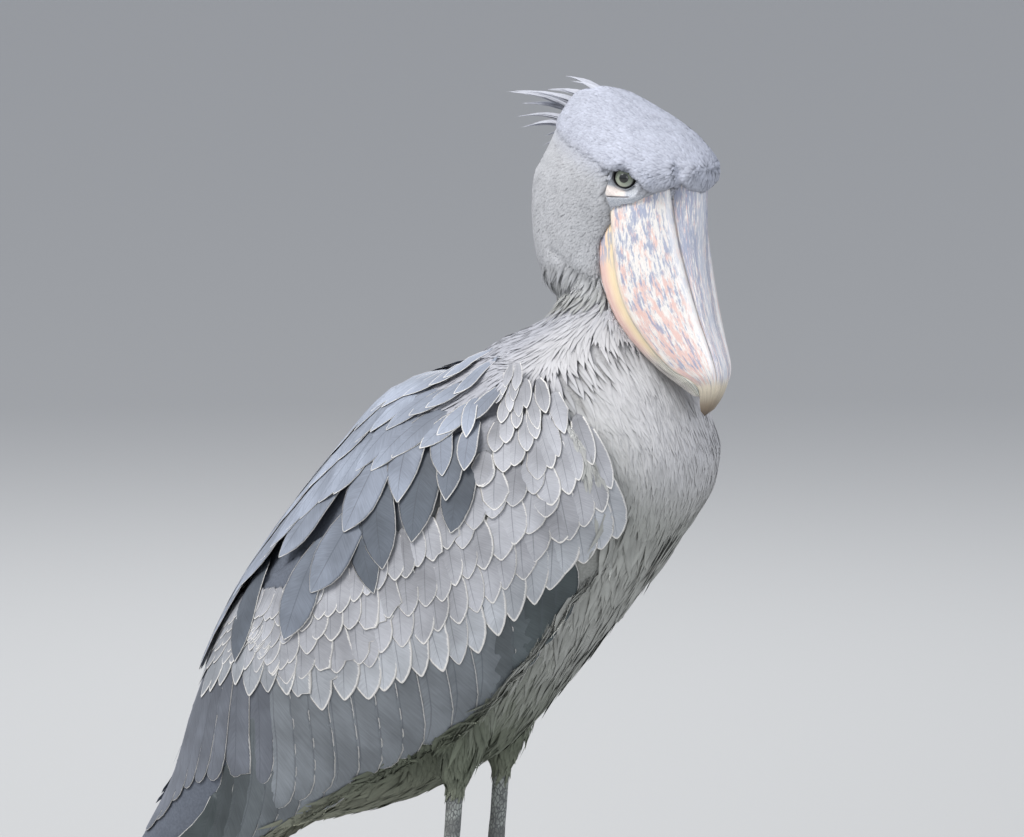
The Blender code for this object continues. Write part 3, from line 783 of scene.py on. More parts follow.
def add_wing_vanes(coat, form, side, place, turn, length, width, base, lift, roll, edge, tone, cells, tint,
                   camber=0.04, lean_shift=0.0, own_lean=None, sink=0.0):
    """Vanes lying on the folded wing; each ends at its given place and turn."""
    shares, profile = (np.array(values) for values in VANE_FORMS[form])
    length, width, base, lift, roll, edge, sink = for_each(
        len(place), length, width, base, lift, roll, edge, sink
    )
    places, turns = wing_path(place, turn, length, shares, side, lean_shift, own_lean)
    here, ahead, around, normal = wing_point(places, turns, side)
    run = unit(np.gradient(here, axis=1))
    across = unit(np.cross(run, normal)) * -side
    ring = vane_ring()
    half = (width / 2)[:, None] * profile[None, :]
    # Offsets in place and turn that move a point across the vane over the wing's own surface
    ahead_size = np.linalg.norm(ahead, axis=-1)
    around_size = np.linalg.norm(around, axis=-1)
    share_ahead = np.sum(across * ahead, axis=-1) / ahead_size
    share_around = np.sum(across * around, axis=-1) / around_size
    move = half[:, :, None] * ring[None, None, :, 0]
    ring_place = places[:, :, None] + move * (share_ahead / ahead_size)[:, :, None]
    ring_turn = turns[:, :, None] + move * (share_around / around_size)[:, :, None]
    ring_turn = np.maximum(ring_turn, 0.004)
    flat, _, _, up = wing_point(ring_place, ring_turn, side)
    s = ring[None, None, :, 0]
    height = WING_RAISE + base[:, None, None] + lift[:, None, None] * shares[None, :, None]
    height = height - sink[:, None, None] * (1 - smooth(0.0, 0.42, shares))[None, :, None]
    # The rear edge, at s = 1, lies lower than the front edge of the vane behind it
    height = height - roll[:, None, None] * move
    height = height + camber * half[:, :, None] * (1 - s**2)
    rings = flat + up * (height + vane_relief(shares))[..., None]
    put_vanes(coat, rings, half, length, shares, edge, tone, cells, tint)


def vane_relief(shares):
    """Height of the quill and the underside over the web's own level, for each node and ring point."""
    ring = vane_ring()
    quill = np.exp(-((ring[:, 0] / 0.2) ** 2))[None, :] * 0.0004 * (1 - shares)[:, None]
    under = np.where(ring[:, 1] > 0, 0.0, -VANE_THICK * (1 - np.abs(ring[:, 0]) ** 3))
    return (quill + under[None, :])[None]


def put_vanes(coat, rings, half, length, shares, edge, tone, cells, tint):
    """Adds vanes whose rings of points are known: (vanes, nodes, points of the ring, 3)."""
    count = len(rings)
    ring = vane_ring()
    first = rings[:, 0].mean(axis=1, keepdims=True)
    last = rings[:, -1].mean(axis=1, keepdims=True)
    points = np.concatenate([first, rings[:, 1:-1].reshape(count, -1, 3), last], axis=1)
    inner, around_count = len(shares) - 2, len(ring)
    along = np.concatenate([[0.0], np.repeat(shares[1:-1], around_count), [1.0]])
    cross = np.concatenate([[0.0], np.tile(ring[:, 0], inner), [0.0]])
    rim = (half[:, 1:-1, None] * (1 - np.abs(ring[None, None, :, 0]))).reshape(count, -1)
    rim = np.minimum(rim, length[:, None] * (1 - along)[None, 1:-1] * 0.8)
    rim = np.concatenate([np.full((count, 1), 0.01), rim, np.zeros((count, 1))], axis=1)
    corner, size = cells
    patch = corner[:, None, :] + size * np.stack([0.5 + 0.46 * cross, 0.03 + 0.94 * along], axis=1)[None]
    values = {"along": along, "across": cross, "tone": tone[:, None], "rim": rim, "edge": edge[:, None]}
    tints = np.broadcast_to(tint, (count, 3))[:, None, :]
    coat.add(points, ring_faces(inner, around_count), values, tints, patch)


def add_free_vanes(coat, form, centre, ups, length, width, edge, tone, cells, tint):
    """Vanes along given centre lines; centre and ups are (vanes, nodes, 3) at the form's own shares."""
    shares, profile = (np.array(values) for values in VANE_FORMS[form])
    length, width, edge = for_each(len(centre), length, width, edge)
    ring = vane_ring()
    run = unit(np.gradient(centre, axis=1))
    across = unit(np.cross(run, ups))
    half = (width / 2)[:, None] * profile[None, :]
    aside = half[:, :, None] * ring[None, None, :, 0]
    height = FREE_CAMBER * half[:, :, None] * (1 - ring[None, None, :, 0] ** 2) + vane_relief(shares)
    rings = centre[:, :, None] + across[:, :, None] * aside[..., None] + ups[:, :, None] * height[..., None]
    put_vanes(coat, rings, half, length, shares, edge, tone, cells, tint)


def cell_corners(first, count, columns, rows):
    """Lower corners and size of numbered cells on a grid over the unwrap."""
    index = first + np.arange(count)
    corners = np.stack([(index % columns) / columns, (index // columns) / rows], axis=1)
    return corners, np.array([1 / columns, 1 / rows])


# Folded wings

# Lines on the wing as places and turns in degrees: the scapulars' lower border, the tips of the
# greater coverts, and the tips of the flight feathers
SCAPULAR_BORDER = ([2.6, 3.4, 4.0, 5.0, 6.0, 6.7, 7.5, 8.3], [8, 20, 50, 79, 85, 92, 84, 58])
GREATER_LINE = ([2.4, 3.0, 3.3, 4.0, 5.0, 5.7, 6.9, 7.9, 8.8], [36, 56, 72, 98, 111, 121, 130, 134, 136])
SECONDARY_TIPS = ([2.2, 3.2, 5.0, 7.4], [118, 131, 139, 142])
# Rows of coverts up from the greater line: distance to the line, length, width, pale margin
COVERT_ROWS = [
    (0.000, 0.095, 0.0340, 0.0020), (0.032, 0.070, 0.0310, 0.0018), (0.060, 0.058, 0.0280, 0.0016),
    (0.085, 0.050, 0.0250, 0.0014), (0.107, 0.043, 0.0220, 0.0013), (0.126, 0.038, 0.0195, 0.0012),
    (0.143, 0.034, 0.0175, 0.0011), (0.158, 0.031, 0.0160, 0.0010), (0.172, 0.028, 0.0145, 0.0010),
    (0.185, 0.026, 0.0135, 0.0009),
]
# Tips of the large scapulars: place, turn and lean in degrees, width, layer
SCAPULAR_TIPS = [
    (6.53, 69, 43, 0.046, 3), (6.32, 82, 37, 0.046, 1), (6.76, 90, 37, 0.040, 0), (7.01, 82, 45, 0.036, 2),
    (7.18, 74, 58, 0.036, 3), (7.38, 77, 47, 0.034, 4), (7.63, 67, 52, 0.030, 5), (5.68, 60, 21, 0.050, 3),
    (4.71, 41, 7, 0.046, 3), (4.86, 66, 12, 0.046, 2), (5.79, 81, 52, 0.044, 1), (5.45, 84, 60, 0.036, 0),
    (4.22, 71, 25, 0.044, 1), (3.41, 56, 38, 0.042, 0),
]
SCAPULAR_LENGTH = 0.118
# Rows of scapulars along the back: turn in degrees at each place of its line, lean, width, layer
BACK_PLACES = [3.0, 4.0, 5.0, 6.0, 7.0, 7.8]
BACK_ROWS = [
    ((20, 24, 32, 44, 58, 60), 9.0, 0.038, 3.4),
    ((10, 13, 18, 28, 42, 48), 7.0, 0.036, 4.0),
    ((3, 4, 6, 14, 28, 38), 5.0, 0.034, 4.6),
]
WING_UPPER = [9.0, 0.7, 0.5, 0.4, 0.4, 3.0, 9.0, 18.0, 29.0, 38.0]

# Paler scapular grey: partly their own colour, partly a painted sheen on the upper layers that face the light
SCAPULAR_PALE_AND_SHEEN = ink(142, 149, 162)
SCAPULAR_DARK = ink(84, 90, 98)
COVERT_GREY = ink(158, 158, 163)
GREATER_GREY = ink(164, 167, 172)
REMEX_GREY = ink(120, 125, 130)
# Darker grey of the front flight feathers: partly their own colour, partly painted shade where other feathers
# overlap them
REMEX_FRONT_DARK_AND_SHADE = ink(76, 84, 86)
TERTIAL_GREY = ink(102, 106, 114)


def wing_row(line, distance, spacing, side, first=2.2, last=8.8, offset=0.0):
    """Places and turns at even spacing along a line moved over the wing by a distance toward the back."""
    places = np.linspace(last, first, 240)
    turns = np.interp(places, *line)
    _, _, around, _ = wing_point(places, np.radians(turns), side)
    turns = np.radians(turns) - distance / np.linalg.norm(around, axis=-1)
    spots, _, _, _ = wing_point(places, np.maximum(turns, 0.0), side)
    travel = np.concatenate([[0.0], np.cumsum(np.linalg.norm(np.diff(spots, axis=0), axis=1))])
    stops = np.arange(offset * spacing, travel[-1], spacing)
    return np.interp(stops, travel, places), np.interp(stops, travel, turns)


def wing_front(turns):
    """Place of the wing's front edge at each turn."""
    fade = np.clip((np.degrees(turns) - 85.0) / 65.0, 0.0, 1.0)
    return 8.9 - 1.65 * fade**1.35


def build_remiges(side, rng):
    """Flight feathers: primaries lie lowest, then secondaries, with the tertials on top."""
    remiges = Coat()

    def add_row(first, place, degrees, length, width, base, lift, roll, edge, tint):
        count = len(place)
        add_wing_vanes(
            remiges, "remex", side, place, np.radians(degrees), length, width, base, lift, roll, edge,
            rng.normal(0, 1, count), cell_corners(first, count, 8, 6), tint,
        )

    share = np.linspace(0, 1, 10)
    add_row(0, 1.75 - 1.70 * share**0.85, 112.0 - 52.0 * share, 0.215 + 0.03 * share, 0.024,
            -0.0056 + 0.0004 * share, 0.0004, 0.03, 0.0007, mix(REMEX_GREY, TERTIAL_GREY, share))
    share = np.linspace(0, 1, 15)
    place = 6.55 - 4.3 * share**0.96 + rng.normal(0, 0.03, 15)
    # The front secondaries take the darker grey, which is partly painted shade
    add_row(10, place, np.interp(place, *SECONDARY_TIPS), 0.085 + 0.105 * smooth(0.0, 0.5, share), 0.041,
            -0.0038, 0.0012, 0.050, 0.0009, mix(REMEX_FRONT_DARK_AND_SHADE, REMEX_GREY, smooth(0.1, 0.5, share)))
    share = np.linspace(0, 1, 9)
    place = 2.75 - 2.25 * share**0.9 + rng.normal(0, 0.05, 9)
    add_row(27, place, 112.0 - 84.0 * share, 0.185, 0.036 - 0.004 * share,
            -0.0044 + 0.0010 * share, 0.0016, 0.035, 0.0009, TERTIAL_GREY)
    # The folded hand's outer feathers close the wing's lower rear edge
    share = np.linspace(0, 1, 8)
    # They darken toward the tip with the same partly painted shade
    add_row(36, 2.6 - 2.5 * share, 137.0 - 24.0 * share, 0.170, 0.040 - 0.012 * share,
            -0.0036, 0.0008, 0.050, 0.0008, mix(REMEX_GREY, REMEX_FRONT_DARK_AND_SHADE, share))
    return remiges


def build_coverts(side, rng):
    """Coverts in rows, the greater ones lowest."""
    coverts = Coat()
    number = 0
    for row, (distance, length, width, edge) in enumerate(COVERT_ROWS):
        place, turn = wing_row(GREATER_LINE, distance, width * 0.66, side, offset=0.5 * (row % 2))
        count = len(place)
        place = place + rng.normal(0, 0.035, count)
        turn = turn + rng.normal(0, 0.016, count)
        low = np.radians(np.interp(place, *SCAPULAR_BORDER))
        keep = (turn > low - 0.03) & (place < wing_front(turn) + 0.15) & (place > 2.3)
        place, turn = place[keep], turn[keep]
        count = len(place)
        if not count:
            continue
        small = 1.0 - 0.16 * smooth(6.8, 8.6, place)
        grey = mix(COVERT_GREY, GREATER_GREY, 1.0 if row == 0 else 0.3)
        grey = mix(grey, REMEX_GREY, 0.45 * (1 - smooth(3.0, 4.6, place)))
        add_wing_vanes(
            coverts, "covert", side, place, turn, length * small * rng.uniform(0.92, 1.06, count),
            width * small * rng.uniform(0.96, 1.05, count), -0.0045 + 0.00012 * row, 0.0030,
            rng.normal(0.050, 0.006, count), edge * rng.uniform(0.7, 1.25, count), rng.normal(0, 1, count),
            cell_corners(number, count, 25, 26), grey, lean_shift=rng.normal(0, 0.05, count),
        )
        number += count
    return coverts


def build_scapulars(side, rng):
    """Scapulars over the upper wing: the large ones one by one, then rows along the back."""
    tips = [list(row) for row in SCAPULAR_TIPS]
    for turns, lean, width, layer in BACK_ROWS:
        place, turn = wing_row((BACK_PLACES, turns), 0.0, width * 0.72, side, first=2.4, last=7.7)
        tips += [[p, math.degrees(t), lean, width, layer] for p, t in zip(place, turn)]
    place, turn, lean, width, layer = np.array(tips, float).T
    count = len(place)
    large = len(SCAPULAR_TIPS)
    jitter = np.where(np.arange(count) < large, 0.25, 1.0)
    place = place + rng.normal(0, 0.04, count) * jitter
    turn = np.radians(turn + rng.normal(0, 1.2, count) * jitter)
    lean = np.radians(lean + rng.normal(0, 3.0, count) * jitter)
    small = 1.0 - 0.52 * smooth(5.8, 7.8, place)
    # Upper layers take the paler grey: darker slate below, with a painted sheen on the upper layers that face
    # the light
    pale = smooth(0.2, 4.0, layer + rng.normal(0, 0.5, count))
    scapulars = Coat()
    length = SCAPULAR_LENGTH * small * rng.uniform(0.96, 1.04, count)
    add_wing_vanes(
        scapulars, "scapular", side, place, turn, length, width * small, -0.0024 + 0.0010 * layer, 0.0026,
        0.030, rng.uniform(0.0008, 0.0012, count), rng.normal(0, 1, count), cell_corners(0, count, 12, 12),
        mix(SCAPULAR_DARK, SCAPULAR_PALE_AND_SHEEN, pale), camber=0.05, own_lean=lean, sink=0.0030 + 0.0009 * layer,
    )
    return scapulars


def build_wing(name, side, seed):
    rng = np.random.default_rng(seed)
    return {
        f"remiges_{name}": build_remiges(side, rng),
        f"coverts_{name}": build_coverts(side, rng),
        f"scapulars_{name}": build_scapulars(side, rng),
    }


# Tufts over the rest of the body


def wing_cover(points):
    """1 where a folded wing hides the body's own coat."""
    run, turn = body_local(points)
    place = np.interp(run, WING_RUNS, range(len(WING_RUNS)))
    # The mantle's plumes also lie over the bases of the front scapulars
    upper = np.interp(place, range(len(WING_UPPER)), WING_UPPER) + 20 * smooth(6.9, 7.9, place)
    front = wing_front(np.radians(turn)) + 0.38
    inside = smooth(upper - 1, upper + 2, turn) * (1 - smooth(138, 143, turn))
    # Under the tail and the vent, inward of the wing, the coat is open
    wide = np.interp(place, range(len(WING)), [row[5] for row in WING])
    inside = inside * np.maximum(smooth(0.45, 0.62, np.abs(points[:, 1]) / wide), turn < 100)
    return inside * (1 - smooth(front - 0.35, front - 0.05, place)) * (run > -0.02)


def tract_weights(points):
    """How strongly each point belongs to each tract of tufts."""
    head = head_share(points)
    local = world_to_head(points)
    run, turn = body_local(points)
    legs = leg_share(points)
    thigh = thigh_share(points)
    open_body = (1 - head) * (1 - legs) * (1 - wing_cover(points))
    border = smooth(-0.0008, 0.0008, cap_rise(points))
    border = np.maximum(border, smooth(-0.072, -0.066, local[:, 0]) * smooth(-0.02, 0.0, local[:, 2]))
    chin = 1 - smooth(-0.085, -0.065, local[:, 2])
    bare = bare_share(points)
    high = smooth(0.655, 0.70, run)
    back = 1 - smooth(55, 80, turn)
    return {
        "cap": head * border * (1 - bare),
        "cheeks": head * (1 - border) * (1 - chin) * (1 - bare),
        "beard": head * chin,
        "neck": open_body * high,
        "mantle": open_body * (1 - high) * back,
        "breast": open_body * (1 - high) * (1 - back) * smooth(0.40, 0.44, run) * (1 - thigh),
        "belly": open_body * (1 - back) * (1 - smooth(0.40, 0.44, run)) * (1 - thigh),
        "thighs": (1 - legs) * thigh * (1 - head),
    }


# For each tract: gap between roots, form, length, width, lift, follow, stray, contrast, ridge
TRACTS = {
    "cap": (0.00165, "short", 0.0100, 0.0034, 0.00030, 0.3, 0.07, 0.26, 0.09),
    "cheeks": (0.00165, "short", 0.0085, 0.0030, 0.00016, 0.3, 0.045, 0.17, 0.07),
    "beard": (0.0025, "plume", 0.0260, 0.0036, 0.0030, 0.3, 0.12, 0.20, 0.12),
    "neck": (0.0025, "plume", 0.0340, 0.0042, 0.0009, 0.35, 0.07, 0.16, 0.10),
    "mantle": (0.0046, "plume", 0.0480, 0.0072, 0.0020, 0.35, 0.13, 0.24, 0.10),
    "breast": (0.0042, "plume", 0.0660, 0.0074, 0.0026, 0.45, 0.09, 0.30, 0.10),
    "belly": (0.0048, "plume", 0.0420, 0.0074, 0.0018, 0.4, 0.10, 0.28, 0.10),
    "thighs": (0.0034, "plume", 0.0210, 0.0046, 0.0008, 0.3, 0.08, 0.22, 0.10),
}


def build_tufts(hull, bill):
    coats = {}
    for seed, (title, numbers) in enumerate(TRACTS.items()):
        gap, form, length, width, lift, follow, stray, contrast, ridge = numbers
        rng = np.random.default_rng(100 + seed)

        def weight(points, title=title):
            return tract_weights(points)[title]

        spots = hull.scatter(int(4.0 * hull.area(weight) / gap**2), rng, weight)
        spots = thinned(spots, gap, rng)
        spots = spots[rng.random(len(spots)) < np.clip(weight(spots) * 1.5, 0, 1)]
        near, facing = bill.nearest(spots)
        outside = np.sum((spots - near) * facing, axis=1)
        spots = spots[outside > 0.0004]
        count = len(spots)
        coat = Coat()
        add_tufts(
            coat, hull, spots, rng, form, length * rng.uniform(0.75, 1.2, count),
            width * rng.uniform(0.8, 1.2, count), lift * rng.uniform(0.3, 1.5, count),
            follow, stray, contrast, ridge,
        )
        coats[f"coat_{title}"] = coat
    return coats


# Materials


class Look:
    """A material built from nodes by short calls."""

    def __init__(self, name, roughness, **constants):
        self.made = bpy.data.materials.new(name)
        self.made.use_nodes = True
        self.tree = self.made.node_tree
        self.shader = self.tree.nodes["Principled BSDF"]
        self.shader.inputs["Roughness"].default_value = roughness
        for title, value in constants.items():
            self.shader.inputs[title.replace("_", " ")].default_value = value

    def node(self, kind, **settings):
        made = self.tree.nodes.new(kind)
        for title, value in settings.items():
            setattr(made, title, value)
        return made

    def link(self, value, socket):
        if isinstance(value, bpy.types.NodeSocket):
            self.tree.links.new(value, socket)
        elif isinstance(value, (tuple, list, np.ndarray)):
            value = tuple(float(part) for part in value)
            socket.default_value = value + (1.0,) if socket.type == "RGBA" and len(value) == 3 else value
        else:
            socket.default_value = value

    def value(self, name):
        return self.node("ShaderNodeAttribute", attribute_name=name).outputs["Fac"]

    def colour(self, name):
        return self.node("ShaderNodeAttribute", attribute_name=name).outputs["Color"]

    def math(self, operation, first, second=0.0, third=0.0):
        made = self.node("ShaderNodeMath", operation=operation)
        for socket, value in zip(made.inputs, (first, second, third)):
            self.link(value, socket)
        return made.outputs[0]

    def between(self, value, low, high, start=0.0, end=1.0):
        made = self.node("ShaderNodeMapRange", interpolation_type="SMOOTHSTEP")
        for socket, part in zip(made.inputs, (value, low, high, start, end)):
            self.link(part, socket)
        return made.outputs[0]

    def mix(self, share, first, second, blend="MIX"):
        made = self.node("ShaderNodeMix", data_type="RGBA", blend_type=blend)
        self.link(share, made.inputs["Factor"])
        self.link(first, made.inputs["A"])
        self.link(second, made.inputs["B"])
        return made.outputs["Result"]

    def place(self, scale=(1.0, 1.0, 1.0), vector=None):
        made = self.node("ShaderNodeMapping")
        self.link(vector or self.node("ShaderNodeTexCoord").outputs["Object"], made.inputs["Vector"])
        made.inputs["Scale"].default_value = scale
        return made.outputs[0]

    def joined(self, x, y, z=0.0):
        made = self.node("ShaderNodeCombineXYZ")
        for socket, part in zip(made.inputs, (x, y, z)):
            self.link(part, socket)
        return made.outputs[0]

    def stretched(self, x, x_scale, y, y_scale, z=0.0):
        """A vector of two scaled values, in which a noise becomes streaks."""
        return self.joined(self.math("MULTIPLY", x, x_scale), self.math("MULTIPLY", y, y_scale), z)

    def noise(self, vector, scale, detail=2.0, roughness=0.5):
        made = self.node("ShaderNodeTexNoise")
        self.link(vector, made.inputs["Vector"])
        made.inputs["Scale"].default_value = scale
        made.inputs["Detail"].default_value = detail
        made.inputs["Roughness"].default_value = roughness
        return made.outputs["Fac"]

    def brighter(self, colour, factor):
        grey = self.node("ShaderNodeCombineColor")
        for socket in grey.inputs[:3]:
            self.link(factor, socket)
        return self.mix(1.0, colour, grey.outputs[0], "MULTIPLY")

    def bump(self, height, distance, strength=1.0):
        made = self.node("ShaderNodeBump")
        self.link(height, made.inputs["Height"])
        made.inputs["Distance"].default_value = distance
        made.inputs["Strength"].default_value = strength
        self.link(made.outputs[0], self.shader.inputs["Normal"])

    def face_true_side(self):
        """Uses the face's own normal where the soft normal points to the face's other side."""
        geometry = self.node("ShaderNodeNewGeometry")
        soft, true = geometry.outputs["Normal"], geometry.outputs["True Normal"]
        agreement = self.node("ShaderNodeVectorMath", operation="DOT_PRODUCT")
        self.link(soft, agreement.inputs[0])
        self.link(true, agreement.inputs[1])
        share = self.between(agreement.outputs["Value"], 0.05, 0.50)
        parts = []
        for normal, amount in ((soft, share), (true, self.math("SUBTRACT", 1.0, share))):
            scaled = self.node("ShaderNodeVectorMath", operation="SCALE")
            self.link(normal, scaled.inputs[0])
            self.link(amount, scaled.inputs["Scale"])
            parts.append(scaled.outputs[0])
        total = self.node("ShaderNodeVectorMath", operation="ADD")
        self.link(parts[0], total.inputs[0])
        self.link(parts[1], total.inputs[1])
        self.link(total.outputs[0], self.shader.inputs["Normal"])

    def paint(self, colour):
        self.link(colour, self.shader.inputs["Base Color"])
        return self.made


def tuft_look():
    """Loose feathers: darker at the root and the edges as painted shade under and between the tufts, paler at
    the tip, by each tract's own contrast.
    """
    look = Look("tufts", 0.88, Specular_IOR_Level=0.2)
    along, across, tone = look.value("along"), look.value("across"), look.value("tone")
    contrast = look.value("edge")
    # Darker toward the root and the edges: painted shade where tufts lie under and between their neighbours
    light = look.between(along, 0.0, 0.85, -1.0, 0.30)
    light = look.math("MULTIPLY_ADD", look.math("ABSOLUTE", across), -0.30, light)
    light = look.math("MULTIPLY_ADD", tone, 0.24, light)
    grain = look.noise(look.place((60.0, 60.0, 60.0)), 1.0, 3.0)
    light = look.math("ADD", light, look.between(grain, 0.25, 0.75, -0.35, 0.35))
    light = look.math("MULTIPLY_ADD", light, contrast, 1.0)
    look.face_true_side()
    return look.paint(look.brighter(look.colour("tint"), light))


def vane_look():
    """Closed vanes: grey web with fine barbs, painted shade toward the root under the vanes above, a dark
    quill line and a pale margin.
    """
    look = Look("vanes", 0.62, Specular_IOR_Level=0.35)
    along, across, tone = look.value("along"), look.value("across"), look.value("tone")
    rim, edge = look.value("rim"), look.value("edge")
    aside = look.math("ABSOLUTE", across)
    barb = look.joined(
        look.math("MULTIPLY_ADD", along, 70.0, look.math("MULTIPLY", aside, -9.0)),
        look.math("MULTIPLY", across, 1.3), look.math("MULTIPLY", tone, 7.0),
    )
    barbs = look.noise(barb, 1.0, 3.0, 0.6)
    cloud = look.noise(look.place((1.0, 1.0, 1.0)), 26.0, 2.0)
    # Darker toward the root: painted shade where the vanes above overlap it
    light = look.between(along, 0.35, 1.0, 0.78, 1.06)
    light = look.math("MULTIPLY_ADD", tone, 0.085, light)
    light = look.math("MULTIPLY", light, look.between(barbs, 0.2, 0.8, 0.86, 1.12))
    light = look.math("MULTIPLY", light, look.between(cloud, 0.3, 0.7, 0.84, 1.14))
    web = look.brighter(look.colour("tint"), light)
    quill = look.between(aside, 0.015, 0.045, 0.45, 0.0)
    web = look.mix(quill, web, ink(70, 74, 80))
    ragged = look.math("MULTIPLY", edge, look.between(barbs, 0.2, 0.8, 0.70, 1.45))
    pale = look.between(look.math("DIVIDE", rim, ragged), 0.55, 1.15, 0.92, 0.0)
    look.bump(barbs, 0.0004, 0.5)
    return look.paint(look.mix(pale, web, ink(226, 223, 218)))


def skin_look():
    """Feather-grey down under the coat, darkened as painted shade beneath the feathers and less so on the
    head, with bare bluish skin at the eye, painted shade in its corners and creases, and dark scaly legs.
    """
    look = Look("skin", 0.7, Specular_IOR_Level=0.3)
    coordinates = look.place((1.0, 1.0, 1.0))
    down = look.noise(coordinates, 420.0, 3.0)
    # The down is kept darker than the coat's tint as painted shade beneath the feathers, less so on the head
    # where the coat is thin
    shade = look.between(down, 0.3, 0.7, 0.66, 0.86)
    shade = look.math("ADD", shade, look.math("MULTIPLY", look.value("soft"), 0.16))
    tint = look.brighter(look.colour("tint"), shade)
    bare = look.value("bare")
    pores = look.noise(coordinates, 900.0, 4.0, 0.65)
    blue = look.mix(look.between(pores, 0.35, 0.65), ink(150, 156, 166), ink(196, 198, 202))
    pale = look.mix(look.between(pores, 0.4, 0.7), ink(222, 214, 208), ink(206, 192, 186))
    face = look.mix(look.value("white"), blue, pale)
    # Dark lid rims, with painted shade in the eye's corners and creases
    face = look.mix(look.value("lid_rim_and_shade"), face, ink(88, 84, 86))
    tint = look.mix(bare, tint, face)
    scales = look.node("ShaderNodeTexVoronoi", feature="DISTANCE_TO_EDGE")
    look.link(look.place((1.0, 1.0, 0.62)), scales.inputs["Vector"])
    scales.inputs["Scale"].default_value = 300.0
    plate = look.between(scales.outputs["Distance"], 0.02, 0.16)
    patches = look.noise(coordinates, 60.0, 3.0)
    horn = look.mix(look.between(patches, 0.40, 0.62), ink(108, 110, 108), ink(142, 146, 142))
    horn = look.mix(plate, ink(88, 90, 90), horn)
    leg = look.value("leg")
    tint = look.mix(leg, tint, horn)
    height = look.math("MULTIPLY", plate, leg)
    height = look.math("ADD", height, look.math("MULTIPLY", pores, 0.35))
    look.bump(height, 0.0006, 0.6)
    return look.paint(tint)


# Skin over all the flesh


def face_relief(points):
    """Sinks the eye pit and raises the lids, rims and folds round both eyes; also returns the dark lid rims,
    painted shade in the eye's corners and creases, and the pale patch below.
    """
    moved = points.copy()
    lid_rim_and_shade = np.zeros(len(points))
    white = np.zeros(len(points))
    for side in (1.0, -1.0):
        ahead, up, out = eye_local(points, side)
        _, axis = eye_place(side)
        radius = np.hypot(ahead, up)
        near = (radius < 0.036) & (out > 0)
        ball = np.sqrt(np.maximum(EYE_RADIUS**2 - radius**2, 0.0))
        opening = 0.0097 + 0.0006 * np.cos(2 * np.arctan2(up, ahead))
        lid = ball + 0.0016 * smooth(opening - 0.0004, opening + 0.0010, radius)
        lid = np.where(radius < opening, ball - 0.0016, lid)
        lid = np.where(radius > EYE_RADIUS - 0.0006, 0.0050, lid)
        pit = smooth(0.0110, 0.0200, radius)
        target = lid * (1 - pit) + out * pit
        shift = np.where(near, np.minimum(target - out, 0.0), 0.0)
        shift = shift * (radius < 0.0205)
        moved += axis * shift[:, None]
        lower = smooth(0.0, 0.35, -up / np.maximum(radius, 1e-6))
        rim_and_corner_shade = np.exp(-(((radius - opening - 0.0006) / 0.0007) ** 2))
        rim_and_corner_shade = np.maximum(rim_and_corner_shade, 0.45 * lower * np.exp(-(((radius - 0.0128) / 0.0006) ** 2)))
        # Crease below the eye: painted shade, and sunk a little further below
        crease_at = -0.0182 + 0.10 * (ahead - 0.0010) * (ahead > 0.001)
        crease = np.exp(-(((up - crease_at) / 0.0007) ** 2)) * smooth(-0.0190, -0.0165, ahead)
        crease = crease * (1 - smooth(0.0035, 0.0070, ahead))
        # Painted shade in both corners of the eye
        for corner, size in ((-0.0132, 0.0040), (0.0126, 0.0030)):
            dark = np.exp(-((ahead - corner) ** 2 + (up - 0.001) ** 2) / size**2)
            rim_and_corner_shade = np.maximum(rim_and_corner_shade, 0.95 * dark)
        lid_rim_and_shade = np.maximum(lid_rim_and_shade, np.where(near, np.maximum(rim_and_corner_shade, crease), 0.0))
        patch = smooth(-0.0183, -0.0168, up) * (1 - smooth(-0.0098, -0.0070, up + 0.35 * ahead + 0.004))
        patch = patch * smooth(-0.0195, -0.0170, ahead) * (1 - smooth(-0.0020, 0.0030, ahead))
        white = np.maximum(white, np.where(near, patch, 0.0))
        moved -= axis * (0.0009 * np.where(near, crease, 0.0))[:, None]
    return moved, lid_rim_and_shade, white


# Lower rim of the forehead's feathers over the bill: distance from the middle, rise
FOREHEAD_RIM = [
    (0.000, 0.0025), (0.012, 0.0055), (0.0237, 0.0115), (0.0285, 0.0142), (0.0337, 0.0089),
    (0.0394, 0.0069), (0.0438, 0.0037), (0.0460, -0.0010), (0.0500, -0.0080),
]
# Lower edge of the brow in the eye's own frame: forward, up
BROW_EDGE = [
    (-0.0200, 0.0064), (-0.0160, 0.0074), (-0.0100, 0.0080), (0.0000, 0.0068), (0.0060, 0.0050),
    (0.0110, 0.0026), (0.0160, -0.0010), (0.0216, -0.0084), (0.0270, -0.0130),
]
# Border between the cap's longer feathers and the cheek, and the crease over the throat: fore, rise
CAP_EDGE = [(-0.175, 0.062), (-0.150, 0.055), (-0.1166, 0.0446), (-0.0828, 0.0325), (-0.0668, 0.0261)]
JOWL_CREASE = [(-0.140, -0.060), (-0.128, -0.067), (-0.113, -0.080), (-0.093, -0.097), (-0.082, -0.104)]
HOLLOW = (-0.0038, 0.0284, 0.0250)
FURROW = [(-0.0100, 0.0275, 0.0360), (-0.0038, 0.0284, 0.0250), (-0.0049, 0.0285, 0.0142)]
SECOND_FURROW = [(-0.0200, 0.0350, 0.0370), (-0.0278, 0.0368, 0.0440), (-0.0440, 0.0399, 0.0526)]
RING_FOLD = (0.0027, 0.0180, 0.0225)


def line_distance(points, line):
    """Shortest distance from points to a line of straight pieces, in two or three dimensions."""
    line = np.array(line)
    best = np.full(len(points), 1e9)
    for a, b in zip(line[:-1], line[1:]):
        edge = b - a
        along = np.clip((points - a) @ edge / (edge @ edge), 0, 1)
        best = np.minimum(best, np.linalg.norm(points - a - along[:, None] * edge, axis=1))
    return best


def bump_at(points, spot, reach):
    return np.exp(-(np.linalg.norm(points - np.array(spot), axis=1) / reach) ** 2)


